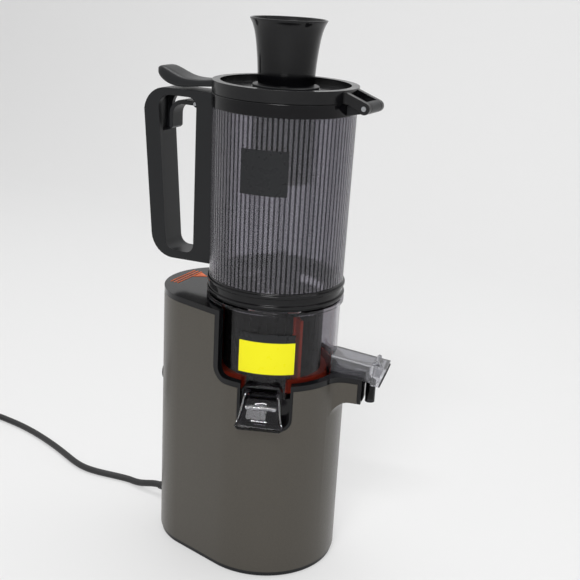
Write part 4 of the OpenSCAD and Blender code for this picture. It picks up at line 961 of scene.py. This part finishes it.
class JUICER_OT_stage(bpy.types.Operator):
    """Lay the floor and the backdrop and set the lamps"""

    bl_idname = "juicer.stage"
    bl_label = "Stage"

    def seen_directly(self, tree):
        """1 for what the camera sees, also through clear plastic or reflected, and 0 for other light."""
        path = add(tree, "LightPath")
        through = add(tree, "Math", {0: (path, "Is Camera Ray"), 1: (path, "Is Transmission Ray")},
                      operation="MAXIMUM")
        return add(tree, "Math", {0: (through, "Value"), 1: (path, "Is Glossy Ray")}, operation="MAXIMUM")

    def floor(self, context):
        """Pale matt card: even and nearly white, with the object's soft shadow on it."""
        material, tree, surface, _ = plain("pale_studio_card", {
            "Base Color": linear("#E4E4E4"), "Roughness": 0.9, "Specular IOR Level": 0.2})
        # The camera sees this share as even light, and the rest as card with its shadow
        even, brightness = 0.5, 0.95
        seen = add(tree, "Math", {0: (self.seen_directly(tree), "Value"), 1: even}, operation="MULTIPLY")
        glow = add(tree, "Emission", {"Color": linear("#F2F2F2"), "Strength": brightness})
        blend = add(tree, "MixShader", {0: (seen, "Value"), 1: (surface, "BSDF"), 2: (glow, "Emission")})
        output = next(item for item in tree.nodes if item.type == "OUTPUT_MATERIAL")
        link(tree, blend, "Shader", output, "Surface")
        # In metres: the floor's front edge, where it starts to rise, the curve, the top, half its width
        front, rise_at, curve, top, half_width = -4.0, 1.0, 0.6, 3.2, 7.0
        arc = [math.pi / 2 * k / 12 for k in range(1, 13)]
        profile = ([(front, 0), (rise_at, 0)]
                   + [(rise_at + math.sin(a) * curve, curve - math.cos(a) * curve) for a in arc]
                   + [(rise_at + curve, top)])
        mesh = bmesh.new()
        rows = [[mesh.verts.new((x, y, z)) for x in (-half_width, half_width)] for y, z in profile]
        for a, b in zip(rows, rows[1:]):
            mesh.faces.new((a[0], a[1], b[1], b[0]))
        data = stored(mesh, "floor")
        smooth(data, 60)
        floor = bpy.data.objects.new("floor", data)
        context.scene.collection.objects.link(floor)
        data.materials.append(material)

    def surroundings(self, context):
        """A dim white room, which the camera and reflections see as bright."""
        dim, bright = 0.26, 0.85
        world = bpy.data.worlds.new("studio")
        context.scene.world = world
        world.use_nodes = True
        tree = world.node_tree
        tree.nodes.clear()
        through = self.seen_directly(tree)
        strength = add(tree, "MapRange", {"Value": (through, "Value"), "To Min": dim, "To Max": bright})
        background = add(tree, "Background", {
            "Color": linear("#FFFFFF"), "Strength": (strength, "Result")})
        add(tree, "OutputWorld", {"Surface": (background, "Background")})

    def lamps(self, context):
        """Four soft lamps, aimed at the middle of the object."""
        middle = Vector((0, 0, 0.25))
        # Place in metres, width and depth in metres, power in watts
        lamps = [("key", (0.55, -1.6, 1.2), 0.8, 0.8, 14.0),
                 ("glint", (0.3, -1.35, 1.75), 0.7, 0.12, 14.0),
                 ("side", (-1.5, -0.5, 1.2), 1.0, 1.0, 1.0),
                 ("top", (0.0, 0.45, 2.1), 2.0, 1.2, 28.0)]
        for name, spot, width, depth, power in lamps:
            lamp = bpy.data.lights.new(name, "AREA")
            lamp.shape = "RECTANGLE"
            lamp.size, lamp.size_y = width, depth
            lamp.energy = power
            holder = bpy.data.objects.new(name, lamp)
            context.scene.collection.objects.link(holder)
            holder.location = spot
            holder.rotation_euler = (middle - Vector(spot)).to_track_quat("-Z", "Y").to_euler()

    def execute(self, context):
        self.floor(context)
        self.surroundings(context)
        self.lamps(context)
        context.scene.view_settings.view_transform = "Standard"
        return {"FINISHED"}


class JUICER_PT_panel(bpy.types.Panel):
    """Lists the sizes and colours, and the steps that build the juicer"""

    bl_label = "Cold press juicer"
    bl_idname = "JUICER_PT_panel"
    bl_space_type = "VIEW_3D"
    bl_region_type = "UI"
    bl_category = "Juicer"

    def draw(self, context):
        for group in ("juicer_sizes", "juicer_colours", "juicer_view"):
            box = self.layout.box()
            owner = getattr(context.scene, group)
            for name in owner.bl_rna.properties.keys():
                if name not in ("rna_type", "name"):
                    box.prop(owner, name)
        for step in STEPS:
            self.layout.operator(step.bl_idname)


GROUPS = {"juicer_sizes": JuicerSizes, "juicer_colours": JuicerColours, "juicer_view": JuicerView}
STEPS = (JUICER_OT_materials, JUICER_OT_camera, JUICER_OT_cord, JUICER_OT_base, JUICER_OT_body,
         JUICER_OT_drive, JUICER_OT_controls, JUICER_OT_bowl, JUICER_OT_auger, JUICER_OT_hopper,
         JUICER_OT_handle, JUICER_OT_lid, JUICER_OT_stage)
CLASSES = tuple(GROUPS.values()) + STEPS + (JUICER_PT_panel,)


def register():
    for item in CLASSES:
        bpy.utils.register_class(item)
    for name, group in GROUPS.items():
        setattr(bpy.types.Scene, name, bpy.props.PointerProperty(type=group))


def unregister():
    for name in GROUPS:
        delattr(bpy.types.Scene, name)
    for item in reversed(CLASSES):
        bpy.utils.unregister_class(item)


def main():
    register()
    for step in STEPS:
        family, action = step.bl_idname.split(".")
        getattr(getattr(bpy.ops, family), action)()
    bpy.context.view_layer.update()


if __name__ == "__main__":
    main()
